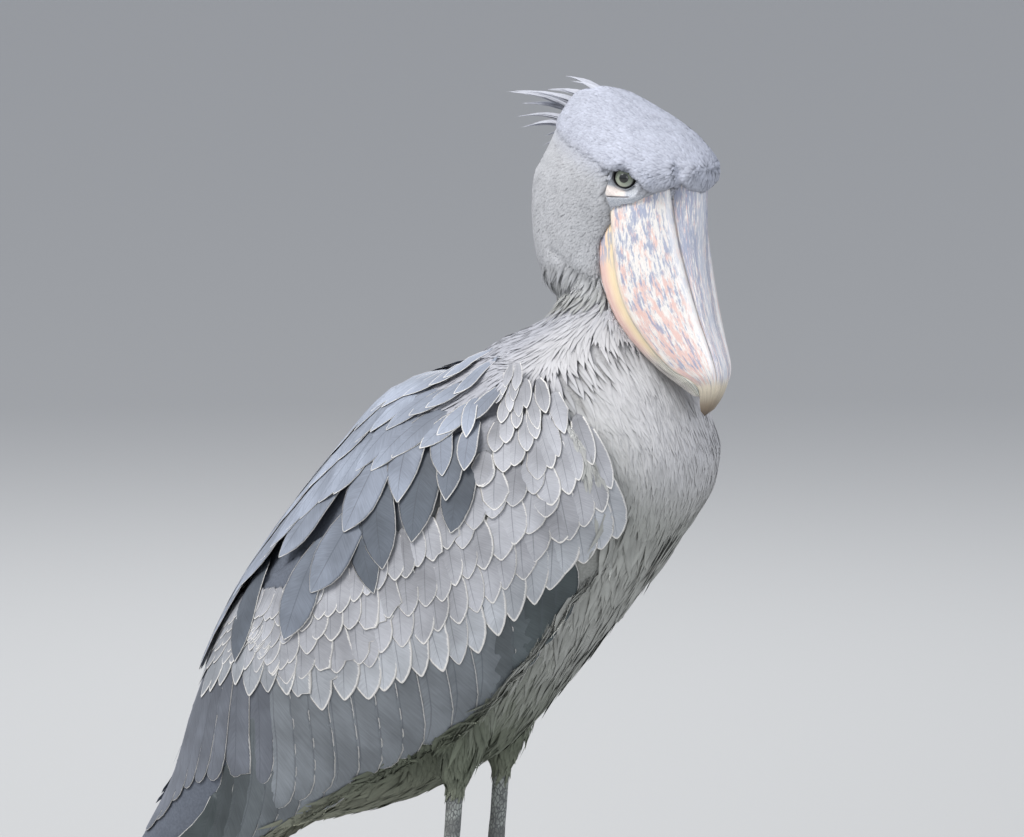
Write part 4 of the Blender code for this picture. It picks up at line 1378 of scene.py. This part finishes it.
def cap_rise(points):
    """Height over the border between cap and cheek, in the head's frame."""
    local = world_to_head(points)
    fores, rises = zip(*CAP_EDGE)
    return local[:, 2] - np.interp(local[:, 0], fores, rises)


def head_relief(points, normals, bill):
    """Folds, hollows and overhangs of the feathered head."""
    local = world_to_head(points)
    fore, rise = local[:, 0], local[:, 2]
    even = local * np.stack([np.ones(len(local)), np.sign(local[:, 1]), np.ones(len(local))], axis=1)
    push = -0.0040 * bump_at(even, HOLLOW, 0.0058)
    push -= 0.0019 * np.exp(-((line_distance(even, FURROW) / 0.0030) ** 2))
    push -= 0.0013 * np.exp(-((line_distance(even, SECOND_FURROW) / 0.0055) ** 2))
    push += 0.0013 * bump_at(even, RING_FOLD, 0.0065)
    on_side = smooth(0.010, 0.022, even[:, 1])
    over = cap_rise(points)
    step = smooth(-0.0006, 0.0016, over) * (1 - smooth(0.005, 0.024, over))
    push += 0.0019 * step * on_side * smooth(-0.062, -0.068, fore)
    crease = line_distance(local[:, ::2], JOWL_CREASE)
    push -= 0.0026 * np.exp(-((crease / 0.0032) ** 2)) * on_side
    for side in (1.0, -1.0):
        ahead, up, out = eye_local(points, side)
        shelf = up - np.interp(ahead, *zip(*BROW_EDGE))
        near = (out > -0.004) * (out < 0.03)
        near = near * smooth(-0.026, -0.016, ahead) * (1 - smooth(0.022, 0.032, ahead))
        push += 0.0046 * near * smooth(-0.0004, 0.0016, shelf) * (1 - smooth(0.004, 0.017, shelf))
    push *= head_share(points)
    moved = points + normals * push[:, None]
    # The forehead's middle hangs lower over the ridge
    sag = 0.0055 * np.exp(-((local[:, 1] / 0.014) ** 2)) * (1 - smooth(0.010, 0.030, rise))
    sag *= smooth(-0.030, -0.012, fore) * smooth(-0.012, -0.002, rise)
    moved[:, 2] -= sag
    # Below its rim the forehead sinks into the bill
    rim = np.interp(even[:, 1], *zip(*FOREHEAD_RIM))
    below = smooth(-0.0004, 0.0022, rim - (rise - sag))
    below *= (even[:, 1] < 0.0475) * (fore > -0.046) * (rise > -0.030)
    chosen = np.nonzero(below > 0)[0]
    near, facing = bill.nearest(moved[chosen])
    outside = np.sum((moved[chosen] - near) * facing, axis=1)
    sink = np.maximum(outside + 0.0022, 0.0) * below[chosen]
    moved[chosen] -= facing * sink[:, None]
    return moved


def refine_head(mesh):
    """Cuts the faces of the head's front once, and those near both eyes three times in all."""
    work = bmesh.new()
    work.from_mesh(mesh)
    for level in range(3):
        spots = np.array([edge.verts[0].co[:] for edge in work.edges])
        local = world_to_head(spots)
        close = np.zeros(len(spots), bool)
        if level == 0:
            close = (local[:, 0] > -0.085) & (local[:, 2] > -0.030) & (head_share(spots) > 0)
        for side in (1.0, -1.0):
            ahead, up, out = eye_local(spots, side)
            reach = 0.032 if level < 2 else 0.021
            close |= (np.hypot(ahead - 0.002, up + 0.006) < reach) & (out > 0.002)
        edges = [edge for edge, wanted in zip(work.edges, close) if wanted]
        bmesh.ops.subdivide_edges(work, edges=edges, cuts=1, use_grid_fill=True)
        work.edges.ensure_lookup_table()
    bmesh.ops.triangulate(work, faces=[face for face in work.faces if len(face.verts) > 4])
    work.to_mesh(mesh)
    work.free()


SKIN_VOXEL = 0.0034


def feather_hull(bill):
    """The closed surface through the feather tips, with the head's folds."""
    mesh = flesh_mesh(SKIN_VOXEL, 5)
    refine_head(mesh)
    moved = head_relief(at_points(mesh, "co"), at_points(mesh, "normal"), bill)
    mesh.vertices.foreach_set("co", moved.astype(np.float32).ravel())
    mesh.update()
    return mesh


def build_skin(look, mesh, shape):
    """The one skin: the hull sunk by the coat's depth, with lids and rims round the eyes."""
    mesh.name = "skin"
    points, normals = shape.points, shape.normals
    depth = coat_depth(points)
    thick = np.full(len(points), 0.1)
    ray = shape.tree.ray_cast
    deep = np.nonzero(depth > 0.001)[0]
    starts = (points - normals * 0.0004)[deep].tolist()
    inward = (-normals)[deep].tolist()
    for n, start, way in zip(deep.tolist(), starts, inward):
        hit = ray(start, way, 0.02)
        if hit[0] is not None:
            thick[n] = hit[3]
    depth = np.minimum(depth, 0.30 * thick)
    sunk = points - normals * depth[:, None]
    sunk, lid_rim_and_shade, white = face_relief(sunk)
    skin = shown("skin", mesh)
    mesh.vertices.foreach_set("co", sunk.astype(np.float32).ravel())
    mesh.polygons.foreach_set("use_smooth", np.ones(len(mesh.polygons), bool))
    write_values(mesh, {
        "bare": bare_share(points), "lid_rim_and_shade": lid_rim_and_shade, "white": white, "leg": leg_share(points),
        "tint": coat_tint(points), "soft": head_share(points),
    })
    mesh.update()
    return finish_piece(skin, look, FLESH)


# Crest


# Locks of the loose crest in the head's frame: root, tip, spread at the root, number of plumes
CREST_LOCKS = [
    ((-0.128, 0.000, 0.066), (-0.246, 0.002, 0.0805), 0.007, 28),
    ((-0.132, 0.004, 0.062), (-0.238, 0.010, 0.0690), 0.006, 24),
    ((-0.134, -0.006, 0.056), (-0.228, -0.004, 0.0590), 0.006, 24),
    ((-0.136, 0.002, 0.052), (-0.219, -0.010, 0.0500), 0.006, 24),
    ((-0.138, 0.004, 0.046), (-0.206, 0.008, 0.0410), 0.006, 24),
    ((-0.140, -0.004, 0.042), (-0.198, -0.004, 0.0330), 0.006, 20),
    ((-0.124, -0.006, 0.068), (-0.226, -0.014, 0.0840), 0.007, 24),
    ((-0.118, 0.004, 0.074), (-0.205, 0.008, 0.0850), 0.006, 20),
    ((-0.112, 0.003, 0.078), (-0.177, 0.006, 0.1000), 0.005, 18),
    ((-0.104, -0.004, 0.078), (-0.159, -0.006, 0.0975), 0.004, 16),
]


def build_crest(seed):
    """Narrow plumes in pointed locks, arched up from the nape."""
    rng = np.random.default_rng(seed)
    coat = Coat()
    shares, profile = (np.array(values) for values in TUFT_FORMS["crest"])
    for root, tip, spread, number in CREST_LOCKS:
        # The plumes of a lock end one after another and close in on its middle line
        part = shares[None, :] * rng.uniform(0.62, 1.06, number)[:, None]
        away = rng.normal(0, spread, (number, 3)) * (0.8, 0.9, 0.45)
        line = np.array(root) + (np.array(tip) - root) * part[..., None]
        line = line + away[:, None] * (0.06 + 0.94 * np.clip(1 - part, 0, 1) ** 1.3)[..., None]
        line[:, :, 2] += 0.006 * np.sin(math.pi * part) - 0.004 * (1 - part) ** 2
        centre = head_to_world(line)
        run = np.gradient(centre, axis=1)
        up = unit(head_way((0.0, -0.6, 0.8)) + rng.normal(0, 0.30, (number, 1, 3)))
        across = unit(np.cross(run, up))
        up = unit(np.cross(across, run))
        half = rng.uniform(0.0010, 0.0019, number)[:, None] * profile[None, :]
        add_blades(
            coat, shares, centre, across, up, half, 0.35, 0.0, 0.5, rng.normal(0, 1, number), 0.2,
            CREST_GREY, unwrap(centre[:, 0]),
        )
    return coat


# Tail


TAIL_ROOT = (-0.190, 0.352)
TAIL_TIP = (-0.388, 0.2235)
TAIL_HALF_ROOT = 0.022
TAIL_HALF_TIP = 0.040
RECTRICES = 12


def build_tail(seed):
    rng = np.random.default_rng(seed)
    coat = Coat()
    shares = np.array(VANE_FORMS["remex"][0])
    rank = np.linspace(-1, 1, RECTRICES)
    root = np.stack([np.full(RECTRICES, TAIL_ROOT[0]), rank * TAIL_HALF_ROOT,
                     np.full(RECTRICES, TAIL_ROOT[1])], axis=1)
    tip = np.stack([TAIL_TIP[0] + 0.014 * np.abs(rank) ** 2, rank * TAIL_HALF_TIP,
                    np.full(RECTRICES, TAIL_TIP[1])], axis=1)
    tip[:, 2] += (tip[:, 0] - TAIL_TIP[0]) * 0.62
    line = root[:, None] + (tip - root)[:, None] * shares[None, :, None]
    line[:, :, 0] += FORE
    up = np.broadcast_to(unit(np.array((-0.53, 0.0, 0.85))), line.shape)
    layer = 0.0040 * (1 - np.abs(rank)) - 0.0020
    line = line + up * layer[:, None, None]
    tilt = np.stack([0 * rank, 0.10 * rank, 0 * rank], axis=1)[:, None]
    length = np.linalg.norm(tip - root, axis=1)
    add_free_vanes(
        coat, "remex", line, unit(up + tilt), length, 0.027, 0.0009, rng.normal(0, 1, RECTRICES),
        cell_corners(0, RECTRICES, 6, 4), TERTIAL_GREY,
    )
    # Coverts over and under the root of the tail
    for over, rows in ((1.0, 3), (-1.0, 4)):
        for row in range(rows):
            count = 7 + row % 2
            rank = np.linspace(-1, 1, count) + rng.normal(0, 0.05, count)
            start = 0.02 + 0.20 * row
            span = 0.42
            ends = []
            for share in (start, start + span):
                wide = TAIL_HALF_ROOT + (TAIL_HALF_TIP - TAIL_HALF_ROOT) * share
                ends.append(np.stack([
                    TAIL_ROOT[0] + (TAIL_TIP[0] - TAIL_ROOT[0]) * share + 0 * rank + FORE,
                    rank * wide * 1.05,
                    TAIL_ROOT[1] + (TAIL_TIP[1] - TAIL_ROOT[1]) * share + 0 * rank,
                ], axis=1))
            forms = np.array(VANE_FORMS["covert"][0])
            line = ends[0][:, None] + (ends[1] - ends[0])[:, None] * forms[None, :, None]
            up = np.broadcast_to(unit(np.array((-0.53, 0.0, 0.85))) * over, line.shape)
            away = 0.0045 + 0.0035 * forms + 0.006 * (rows - 1 - row) / rows
            line = line + up * away[None, :, None]
            add_free_vanes(
                coat, "covert", line, up, 0.10, rng.uniform(0.022, 0.028, count), 0.0012,
                rng.normal(0, 1, count), cell_corners(12 if over > 0 else 24, count, 6, 8),
                TERTIAL_GREY if over > 0 else VENT,
            )
    return coat


# Bill


# Stations that carry the upper bill on under the forehead's feathers
BILL_ROOT = [
    (-0.036, 0.0015, 0.0180, -0.0165, 0.0400, -0.0640),
    (-0.024, 0.0015, 0.0190, -0.0180, 0.0450, -0.0665),
]


def section_upper(row, keel_steps, flank_steps):
    """Half outline of the upper bill from ridge to mouth; also a running mark, 0 ridge, 1 groove, 2 mouth."""
    along, ridge, keel, groove, wide, mouth = row
    turn = np.linspace(0, math.pi / 2, keel_steps, endpoint=False)
    side = keel * np.sin(turn)
    height = groove + (ridge - groove) * np.cos(turn)
    mark = turn / (math.pi / 2)
    turn2 = np.linspace(0, math.pi / 2, flank_steps)
    power = 2 / FLANK_ROUND
    side2 = keel + (wide - keel) * np.sin(turn2) ** power
    height2 = groove + (mouth - groove) * (1 - np.maximum(np.cos(turn2), 0) ** power)
    mark2 = 1 + turn2 / (math.pi / 2)
    return np.concatenate([side, side2]), np.concatenate([height, height2]), np.concatenate([mark, mark2])


def upper_detail(along, mark):
    """Small forms of the horn: the groove beside the ridge, its raised border and the mouth's thick rim."""
    groove = -0.0010 * np.exp(-(((mark - 1.0) / 0.045) ** 2))
    border = 0.0006 * np.exp(-(((mark - 1.13) / 0.07) ** 2))
    border = border + 0.0005 * np.exp(-(((mark - 0.62) / 0.10) ** 2))
    rim = 0.0005 * smooth(1.86, 1.93, mark)
    fade = 1 - smooth(0.150, 0.178, along)
    return (groove + border) * fade + rim


def build_upper_bill(look):
    table = curve_through(BILL_ROOT + BILL_UPPER, 7)
    rings, marks = [], []
    for row in table:
        side, height, mark = section_upper(row, 12, 34)
        along = row[0]
        slope_side = np.gradient(side)
        slope_height = np.gradient(height)
        size = np.maximum(np.hypot(slope_side, slope_height), 1e-9)
        push = upper_detail(along, mark)
        side = np.maximum(side - push * slope_height / size, 0.0)
        side[0] = 0.0
        height = height + push * slope_side / size
        palate = np.linspace(0.93, 0.08, 7)
        side = np.concatenate([side, side[-1] * palate])
        height = np.concatenate([height, np.full(7, height[-1]) + 0.0008 * np.sin(math.pi * palate)])
        mark = np.concatenate([mark, 2 + (1 - palate)])
        full_side = np.concatenate([side, -side[:0:-1]])
        full_height = np.concatenate([height, height[:0:-1]])
        rings.append(np.stack([np.full(len(full_side), along), full_side, full_height], axis=1))
        marks.append(np.concatenate([mark, mark[:0:-1]]))
    root = (table[0][0] - 0.004, 0.0, -0.030)
    tip = (BILL_TIP[0], 0.0, BILL_TIP[1])
    return bill_piece("bill_upper", rings, marks, root, tip, 1.0, look)


def bill_piece(name, rings, marks, first, last, end_mark, look):
    """Closed horn through rings in the bill's frame; it replaces the solid of that name."""
    local = np.concatenate([[first]] + rings + [[last]])
    values = {
        "mark": np.concatenate([[end_mark]] + marks + [[end_mark]]),
        "run": local[:, 0],
        "side": np.sign(local[:, 1]),
    }
    faces = ring_faces(len(rings), len(rings[0]))
    piece = mesh_object(f"{name}_horn", head_to_world(bill_to_head(local)), faces, values)
    fix_outward(piece)
    return finish_piece(piece, look, [name])


def fix_outward(piece):
    work = bmesh.new()
    work.from_mesh(piece.data)
    bmesh.ops.recalc_face_normals(work, faces=work.faces)
    if work.calc_volume(signed=True) < 0:
        bmesh.ops.reverse_faces(work, faces=work.faces)
    work.to_mesh(piece.data)
    work.free()


# Half section of the lower bill: share of the half width, share of the depth
LOWER_SECTION = [
    (0.0, 0.0), (0.55, 0.0), (0.97, 0.0), (1.02, 0.10), (1.02, 0.28), (1.01, 0.52), (0.96, 0.78),
    (0.86, 0.94), (0.70, 1.0), (0.48, 0.93), (0.25, 0.86), (0.0, 0.84),
]


def build_lower_bill(look):
    places, chins, widths = zip(*BILL_LOWER)
    section = curve_through(LOWER_SECTION, 5)
    mark = np.linspace(0, 1, len(section))
    upper = curve_through(BILL_UPPER[2:14], 7)
    rings, marks = [], []
    for row in upper:
        along, mouth = row[0], row[5]
        chin = float(np.interp(along, places, chins))
        wide = float(np.interp(along, places, widths))
        deep = mouth - chin
        side = wide * section[:, 0]
        height = mouth - 0.0002 - deep * section[:, 1]
        full_side = np.concatenate([side, -side[-2:0:-1]])
        full_height = np.concatenate([height, height[-2:0:-1]])
        rings.append(np.stack([np.full(len(full_side), along), full_side, full_height], axis=1))
        marks.append(np.concatenate([mark, mark[-2:0:-1]]))
    root = (BILL_UPPER[2][0] - 0.006, 0.0, -0.084)
    tip = (BILL_LOWER_TIP[0], 0.0, BILL_LOWER_TIP[1])
    return bill_piece("bill_lower", rings, marks, root, tip, 0.5, look)


def upper_bill_look():
    """Ivory horn streaked lengthwise with slate blue, lavender and pink."""
    look = Look("bill_upper", 0.42, Specular_IOR_Level=0.4, Coat_Weight=0.12, Coat_Roughness=0.35)
    run, mark, side = look.value("run"), look.value("mark"), look.value("side")
    broad_streaks = look.noise(look.stretched(run, 30.0, mark, 9.0, side), 1.0, 3.0, 0.6)
    fine_streaks = look.noise(look.stretched(run, 80.0, mark, 26.0, side), 1.0, 5.0, 0.72)
    hair_streaks = look.noise(look.stretched(run, 240.0, mark, 120.0, side), 1.0, 2.0, 0.6)
    ivory = look.mix(hair_streaks, ink(196, 190, 184), ink(238, 235, 231))
    # Pink in the middle and toward the tip, then slate blue, most toward the root and along the ridge
    pink_place = look.stretched(run, 44.0, mark, 12.0, look.math("ADD", side, 5.0))
    pink_noise = look.noise(pink_place, 1.0, 5.0, 0.7)
    fore = look.between(run, 0.055, 0.125)
    flank = look.between(mark, 1.18, 1.42)
    pink_amount = look.math("MULTIPLY_ADD", look.math("MULTIPLY", fore, flank), 0.07, pink_noise)
    pink = look.between(pink_amount, 0.49, 0.60, 0.0, 0.80)
    horn = look.mix(pink, ivory, look.mix(hair_streaks, ink(196, 150, 140), ink(226, 194, 184)))
    rear = look.between(run, 0.110, 0.030)
    blue_amount = look.math("MULTIPLY_ADD", fine_streaks, 0.72, look.math("MULTIPLY", broad_streaks, 0.38))
    blue_amount = look.math("MULTIPLY_ADD", rear, 0.035, blue_amount)
    keel = look.between(mark, 1.02, 0.90)
    blue_amount = look.math("MULTIPLY_ADD", keel, 0.05, blue_amount)
    blue = look.between(blue_amount, 0.555, 0.640, 0.0, 0.88)
    horn = look.mix(blue, horn, look.mix(hair_streaks, ink(112, 124, 150), ink(168, 174, 194)))
    # White beside the groove and at the root, and a painted highlight along the ridge
    strip = look.math("MULTIPLY", look.between(mark, 1.03, 1.08), look.between(mark, 1.26, 1.14))
    horn = look.mix(look.math("MULTIPLY", strip, 0.55), horn, ink(238, 236, 234))
    # Painted shade: a dark line down the groove beside the ridge
    line = look.between(look.math("ABSOLUTE", look.math("SUBTRACT", mark, 1.0)), 0.045, 0.012, 0.0, 0.7)
    horn = look.mix(line, horn, ink(118, 110, 108))
    # Painted highlight: a pale line along the top of the ridge
    ridge = look.between(mark, 0.30, 0.12, 0.0, 0.35)
    horn = look.mix(ridge, horn, ink(228, 229, 231))
    mouth = look.between(mark, 1.90, 1.98, 0.0, 0.6)
    horn = look.mix(mouth, horn, ink(222, 206, 184))
    # Horn-coloured nail with a browner end
    nail = look.between(run, 0.172, 0.183)
    nail_colour = look.mix(look.between(run, 0.178, 0.204), ink(216, 206, 186), ink(120, 104, 86))
    nail_colour = look.mix(look.math("MULTIPLY", blue, 0.5), nail_colour, ink(120, 112, 104))
    horn = look.mix(nail, horn, nail_colour)
    height = look.math("ADD", look.math("MULTIPLY", hair_streaks, 0.5), fine_streaks)
    look.bump(height, 0.0006, 0.45)
    return look.paint(horn)


def lower_bill_look():
    """Peach rim, a warm yellow band above it and a grey-green line under the mouth."""
    look = Look("bill_lower", 0.45, Specular_IOR_Level=0.4, Coat_Weight=0.1, Coat_Roughness=0.35)
    run, mark, side = look.value("run"), look.value("mark"), look.value("side")
    streaks = look.noise(look.stretched(run, 70.0, mark, 60.0, side), 1.0, 3.0, 0.65)
    blotch = look.noise(look.stretched(run, 60.0, mark, 24.0, side), 1.0, 3.0)
    yellow = look.mix(streaks, ink(222, 196, 152), ink(240, 224, 196))
    peach = look.mix(blotch, ink(206, 160, 148), ink(236, 214, 206))
    horn = look.mix(look.between(mark, 0.34, 0.50), yellow, peach)
    rear = look.between(run, 0.062, 0.034)
    spots = look.between(blotch, 0.46, 0.56, 0.0, 0.85)
    horn = look.mix(look.math("MULTIPLY", rear, spots), horn, ink(150, 158, 178))
    green = look.between(mark, 0.34, 0.20, 0.0, 0.9)
    horn = look.mix(green, horn, look.mix(streaks, ink(150, 156, 142), ink(206, 206, 190)))
    end = look.between(run, 0.128, 0.156)
    layers = look.noise(look.stretched(run, 40.0, mark, 90.0, 1.0), 1.0, 2.0)
    striped = look.mix(look.between(layers, 0.42, 0.58), ink(120, 124, 122), ink(222, 222, 214))
    horn = look.mix(look.math("MULTIPLY", end, 0.85), horn, striped)
    look.bump(streaks, 0.0005, 0.4)
    return look.paint(horn)


# Eyes


PUPIL = 0.0045
IRIS = 0.0093


def eye_look():
    """Pale grey-green iris, darker round a black pupil, with a dark outer rim that is painted shade giving
    the flat iris depth.
    """
    look = Look("eye", 0.12, Specular_IOR_Level=0.6, Coat_Weight=0.6, Coat_Roughness=0.03)
    away, around = look.value("away"), look.value("around")
    ray = look.noise(look.stretched(around, 9.0, away, 260.0), 1.0, 4.0)
    iris = look.mix(ray, ink(126, 134, 118), ink(178, 184, 166))
    iris = look.mix(look.between(away, PUPIL, PUPIL + 0.0016, 0.6, 0.0), iris, ink(110, 118, 106))
    # Dark outer rim of the iris: painted shade that gives the flat ball the look of a sunken iris
    iris = look.mix(look.between(away, IRIS - 0.0012, IRIS - 0.0002), iris, ink(28, 26, 26))
    pupil = look.between(away, PUPIL + 0.0002, PUPIL - 0.0003)
    return look.paint(look.mix(pupil, iris, ink(6, 6, 8)))


def build_eyes(look):
    rows, sides = 40, 48
    for name, side in (("left", 1.0), ("right", -1.0)):
        centre, out = eye_place(side)
        ahead = np.cross(UPWARD, out)
        lift = np.linspace(0, math.pi, rows + 2)[1:-1]
        turn = np.linspace(0, 2 * math.pi, sides, endpoint=False)
        bulge = 0.0006 * (1 - smooth(0.0, 0.85, lift))
        radius = EYE_RADIUS - 0.0006 + bulge
        ring = np.cos(turn)[:, None] * ahead + np.sin(turn)[:, None] * UPWARD
        points = [centre + out * EYE_RADIUS]
        for angle, size in zip(lift, radius):
            points.extend(centre + out * size * math.cos(angle) + ring * size * math.sin(angle))
        points.append(centre - out * (EYE_RADIUS - 0.0006))
        away = np.concatenate([[0.0], np.repeat(radius * np.sin(lift), sides), [0.02]])
        away = np.where(np.concatenate([[0.0], np.repeat(lift, sides), [3.0]]) > math.pi / 2, 0.02, away)
        around = np.concatenate([[0.0], np.tile(np.abs(turn - math.pi), rows), [0.0]])
        values = {"away": away, "around": around}
        piece = mesh_object(f"eyeball_{name}", np.array(points), ring_faces(rows, sides), values)
        fix_outward(piece)
        finish_piece(piece, look, [f"eye_{name}"])


# Claws


TOES = [("inner", -17.0, 0.118), ("middle", 5.0, 0.150), ("outer", 29.0, 0.124), ("hind", 176.0, 0.056)]
TOE_END = 0.99
TOE_END_RISE = 0.0047
CLAW_LENGTH = 0.024
CLAW_LINE = [
    (-0.22, 0.0, 0.60), (0.0, 0.0002, 0.80), (0.10, 0.0006, 0.92), (0.25, 0.0010, 1.0), (0.45, 0.0008, 0.90),
    (0.65, 0.0000, 0.72), (0.82, -0.0014, 0.48), (0.94, -0.0028, 0.22),
]
CLAW_THICK = 0.0043
FOOT_ROOT = (0.0170, 0.002)


def claw_look():
    look = Look("claw", 0.38, Specular_IOR_Level=0.5)
    grain = look.noise(look.place((1.0, 1.0, 1.0)), 500.0, 3.0)
    along = look.value("along")
    horn = look.mix(grain, ink(58, 52, 48), ink(92, 84, 76))
    horn = look.mix(look.between(along, 0.6, 1.0, 0.0, 0.5), horn, ink(30, 27, 26))
    look.bump(grain, 0.0003, 0.4)
    return look.paint(horn)


def build_claws(look):
    sides = 16
    turn = np.linspace(0, 2 * math.pi, sides, endpoint=False)
    line = curve_through(CLAW_LINE, 3)
    for name, side in (("left", 1.0), ("right", -1.0)):
        blocks, triangles, quads, alongs = [], [], [], []
        shift = 0
        for toe, heading, length in TOES:
            angle = math.radians(heading)
            way = np.array((math.cos(angle), side * math.sin(angle), 0.0))
            level = np.array((-way[1], way[0], 0.0))
            root = np.array((FOOT_ROOT[0] + FORE, side * (LEG_HALF_GAP + FOOT_ROOT[1]), TOE_END_RISE))
            tip = root + way * (TOE_END * length)
            points = [tip - way * 0.0065]
            for share, rise, thick in line:
                spot = tip + way * CLAW_LENGTH * share + np.array((0.0, 0.0, rise))
                thick = CLAW_THICK * thick
                points.extend(
                    spot + level * (0.85 * thick * math.cos(t)) + np.array((0, 0, thick * math.sin(t)))
                    for t in turn
                )
            end = tip + way * CLAW_LENGTH - np.array((0.0, 0.0, 0.0037))
            points.append(end)
            tri, quad = ring_faces(len(line), sides)
            triangles.append(tri + shift)
            quads.append(quad + shift)
            alongs.append(np.concatenate([[0.0], np.repeat(line[:, 0], sides), [1.0]]))
            blocks.append(np.array(points))
            shift += len(points)
        piece = mesh_object(
            f"claws_{name}", np.concatenate(blocks), [np.concatenate(triangles), np.concatenate(quads)],
            {"along": np.concatenate(alongs)},
        )
        fix_outward(piece)
        finish_piece(piece, look, [f"claw_{toe}_{name}" for toe, _, _ in TOES])


# Stage


VIEW_AZIMUTH = math.radians(22.0)
VIEW_ELEVATION = math.radians(8.0)
VIEW_DISTANCE = 10.0
VIEW_WIDTH = 0.98304
VIEW_TARGET = (0.095, 0.0, 0.717)
SENSOR = 36.0


def build_camera():
    data = bpy.data.cameras.new("camera")
    camera = shown("camera", data)
    way = Vector((
        -math.sin(VIEW_AZIMUTH) * math.cos(VIEW_ELEVATION),
        math.cos(VIEW_AZIMUTH) * math.cos(VIEW_ELEVATION),
        -math.sin(VIEW_ELEVATION),
    ))
    camera.location = Vector(VIEW_TARGET) - way * VIEW_DISTANCE
    camera.rotation_euler = way.to_track_quat("-Z", "Y").to_euler()
    data.sensor_width = SENSOR
    data.lens = SENSOR * VIEW_DISTANCE / VIEW_WIDTH
    data.clip_end = 200.0
    bpy.context.scene.camera = camera


# Soft lamps: name, place, diameter, power, colour
LAMPS = [
    ("key", (-1.2, -2.6, 4.2), 2.6, 225.0, (1.0, 0.985, 0.96)),
    ("fill", (3.4, -2.4, 1.6), 2.6, 50.0, (0.95, 0.98, 1.0)),
    ("back", (-1.5, 3.2, 2.8), 2.4, 75.0, (0.97, 0.98, 1.0)),
]
LAMP_AIM = (0.05, 0.0, 0.65)
FLOOR_HALF = 60.0


def area_light(name, place, size, power, colour):
    data = bpy.data.lights.new(name, "AREA")
    data.shape = "DISK"
    data.size = size
    data.energy = power
    data.color = colour
    light = shown(name, data)
    light.location = place
    light.rotation_euler = (Vector(LAMP_AIM) - Vector(place)).to_track_quat("-Z", "Y").to_euler()


def build_stage():
    corners = [(x * FLOOR_HALF, y * FLOOR_HALF, 0.0) for x, y in ((-1, -1), (1, -1), (1, 1), (-1, 1))]
    mesh = bpy.data.meshes.new("floor")
    mesh.from_pydata(corners, [], [(0, 1, 2, 3)])
    floor = shown("floor", mesh)
    look = Look("floor", 0.9)
    mesh.materials.append(look.paint((0.40, 0.40, 0.39)))
    for lamp in LAMPS:
        area_light(*lamp)
    world = bpy.data.worlds.new("studio")
    world.use_nodes = True
    background = world.node_tree.nodes["Background"]
    background.inputs["Color"].default_value = (0.86, 0.90, 1.0, 1.0)
    background.inputs["Strength"].default_value = 0.78
    bpy.context.scene.world = world
    bpy.context.scene.view_settings.view_transform = "Standard"


def main():
    tufts, vanes = tuft_look(), vane_look()
    build_camera()
    build_stage()
    bill = Surface(build_upper_bill(upper_bill_look()).data)
    hull_mesh = feather_hull(bill)
    hull = Surface(hull_mesh)
    build_skin(skin_look(), hull_mesh, hull)
    for title, coat in build_tufts(hull, bill).items():
        finish_piece(coat.make(title), tufts)
    finish_piece(build_crest(7).make("coat_crest"), tufts, ["crest_nape", "crest_crown"])
    for name, side, seed in (("left", 1.0, 11), ("right", -1.0, 12)):
        for title, coat in build_wing(name, side, seed).items():
            finish_piece(coat.make(title), vanes)
    finish_piece(build_tail(21).make("rectrices"), vanes)
    build_lower_bill(lower_bill_look())
    build_eyes(eye_look())
    build_claws(claw_look())


main()
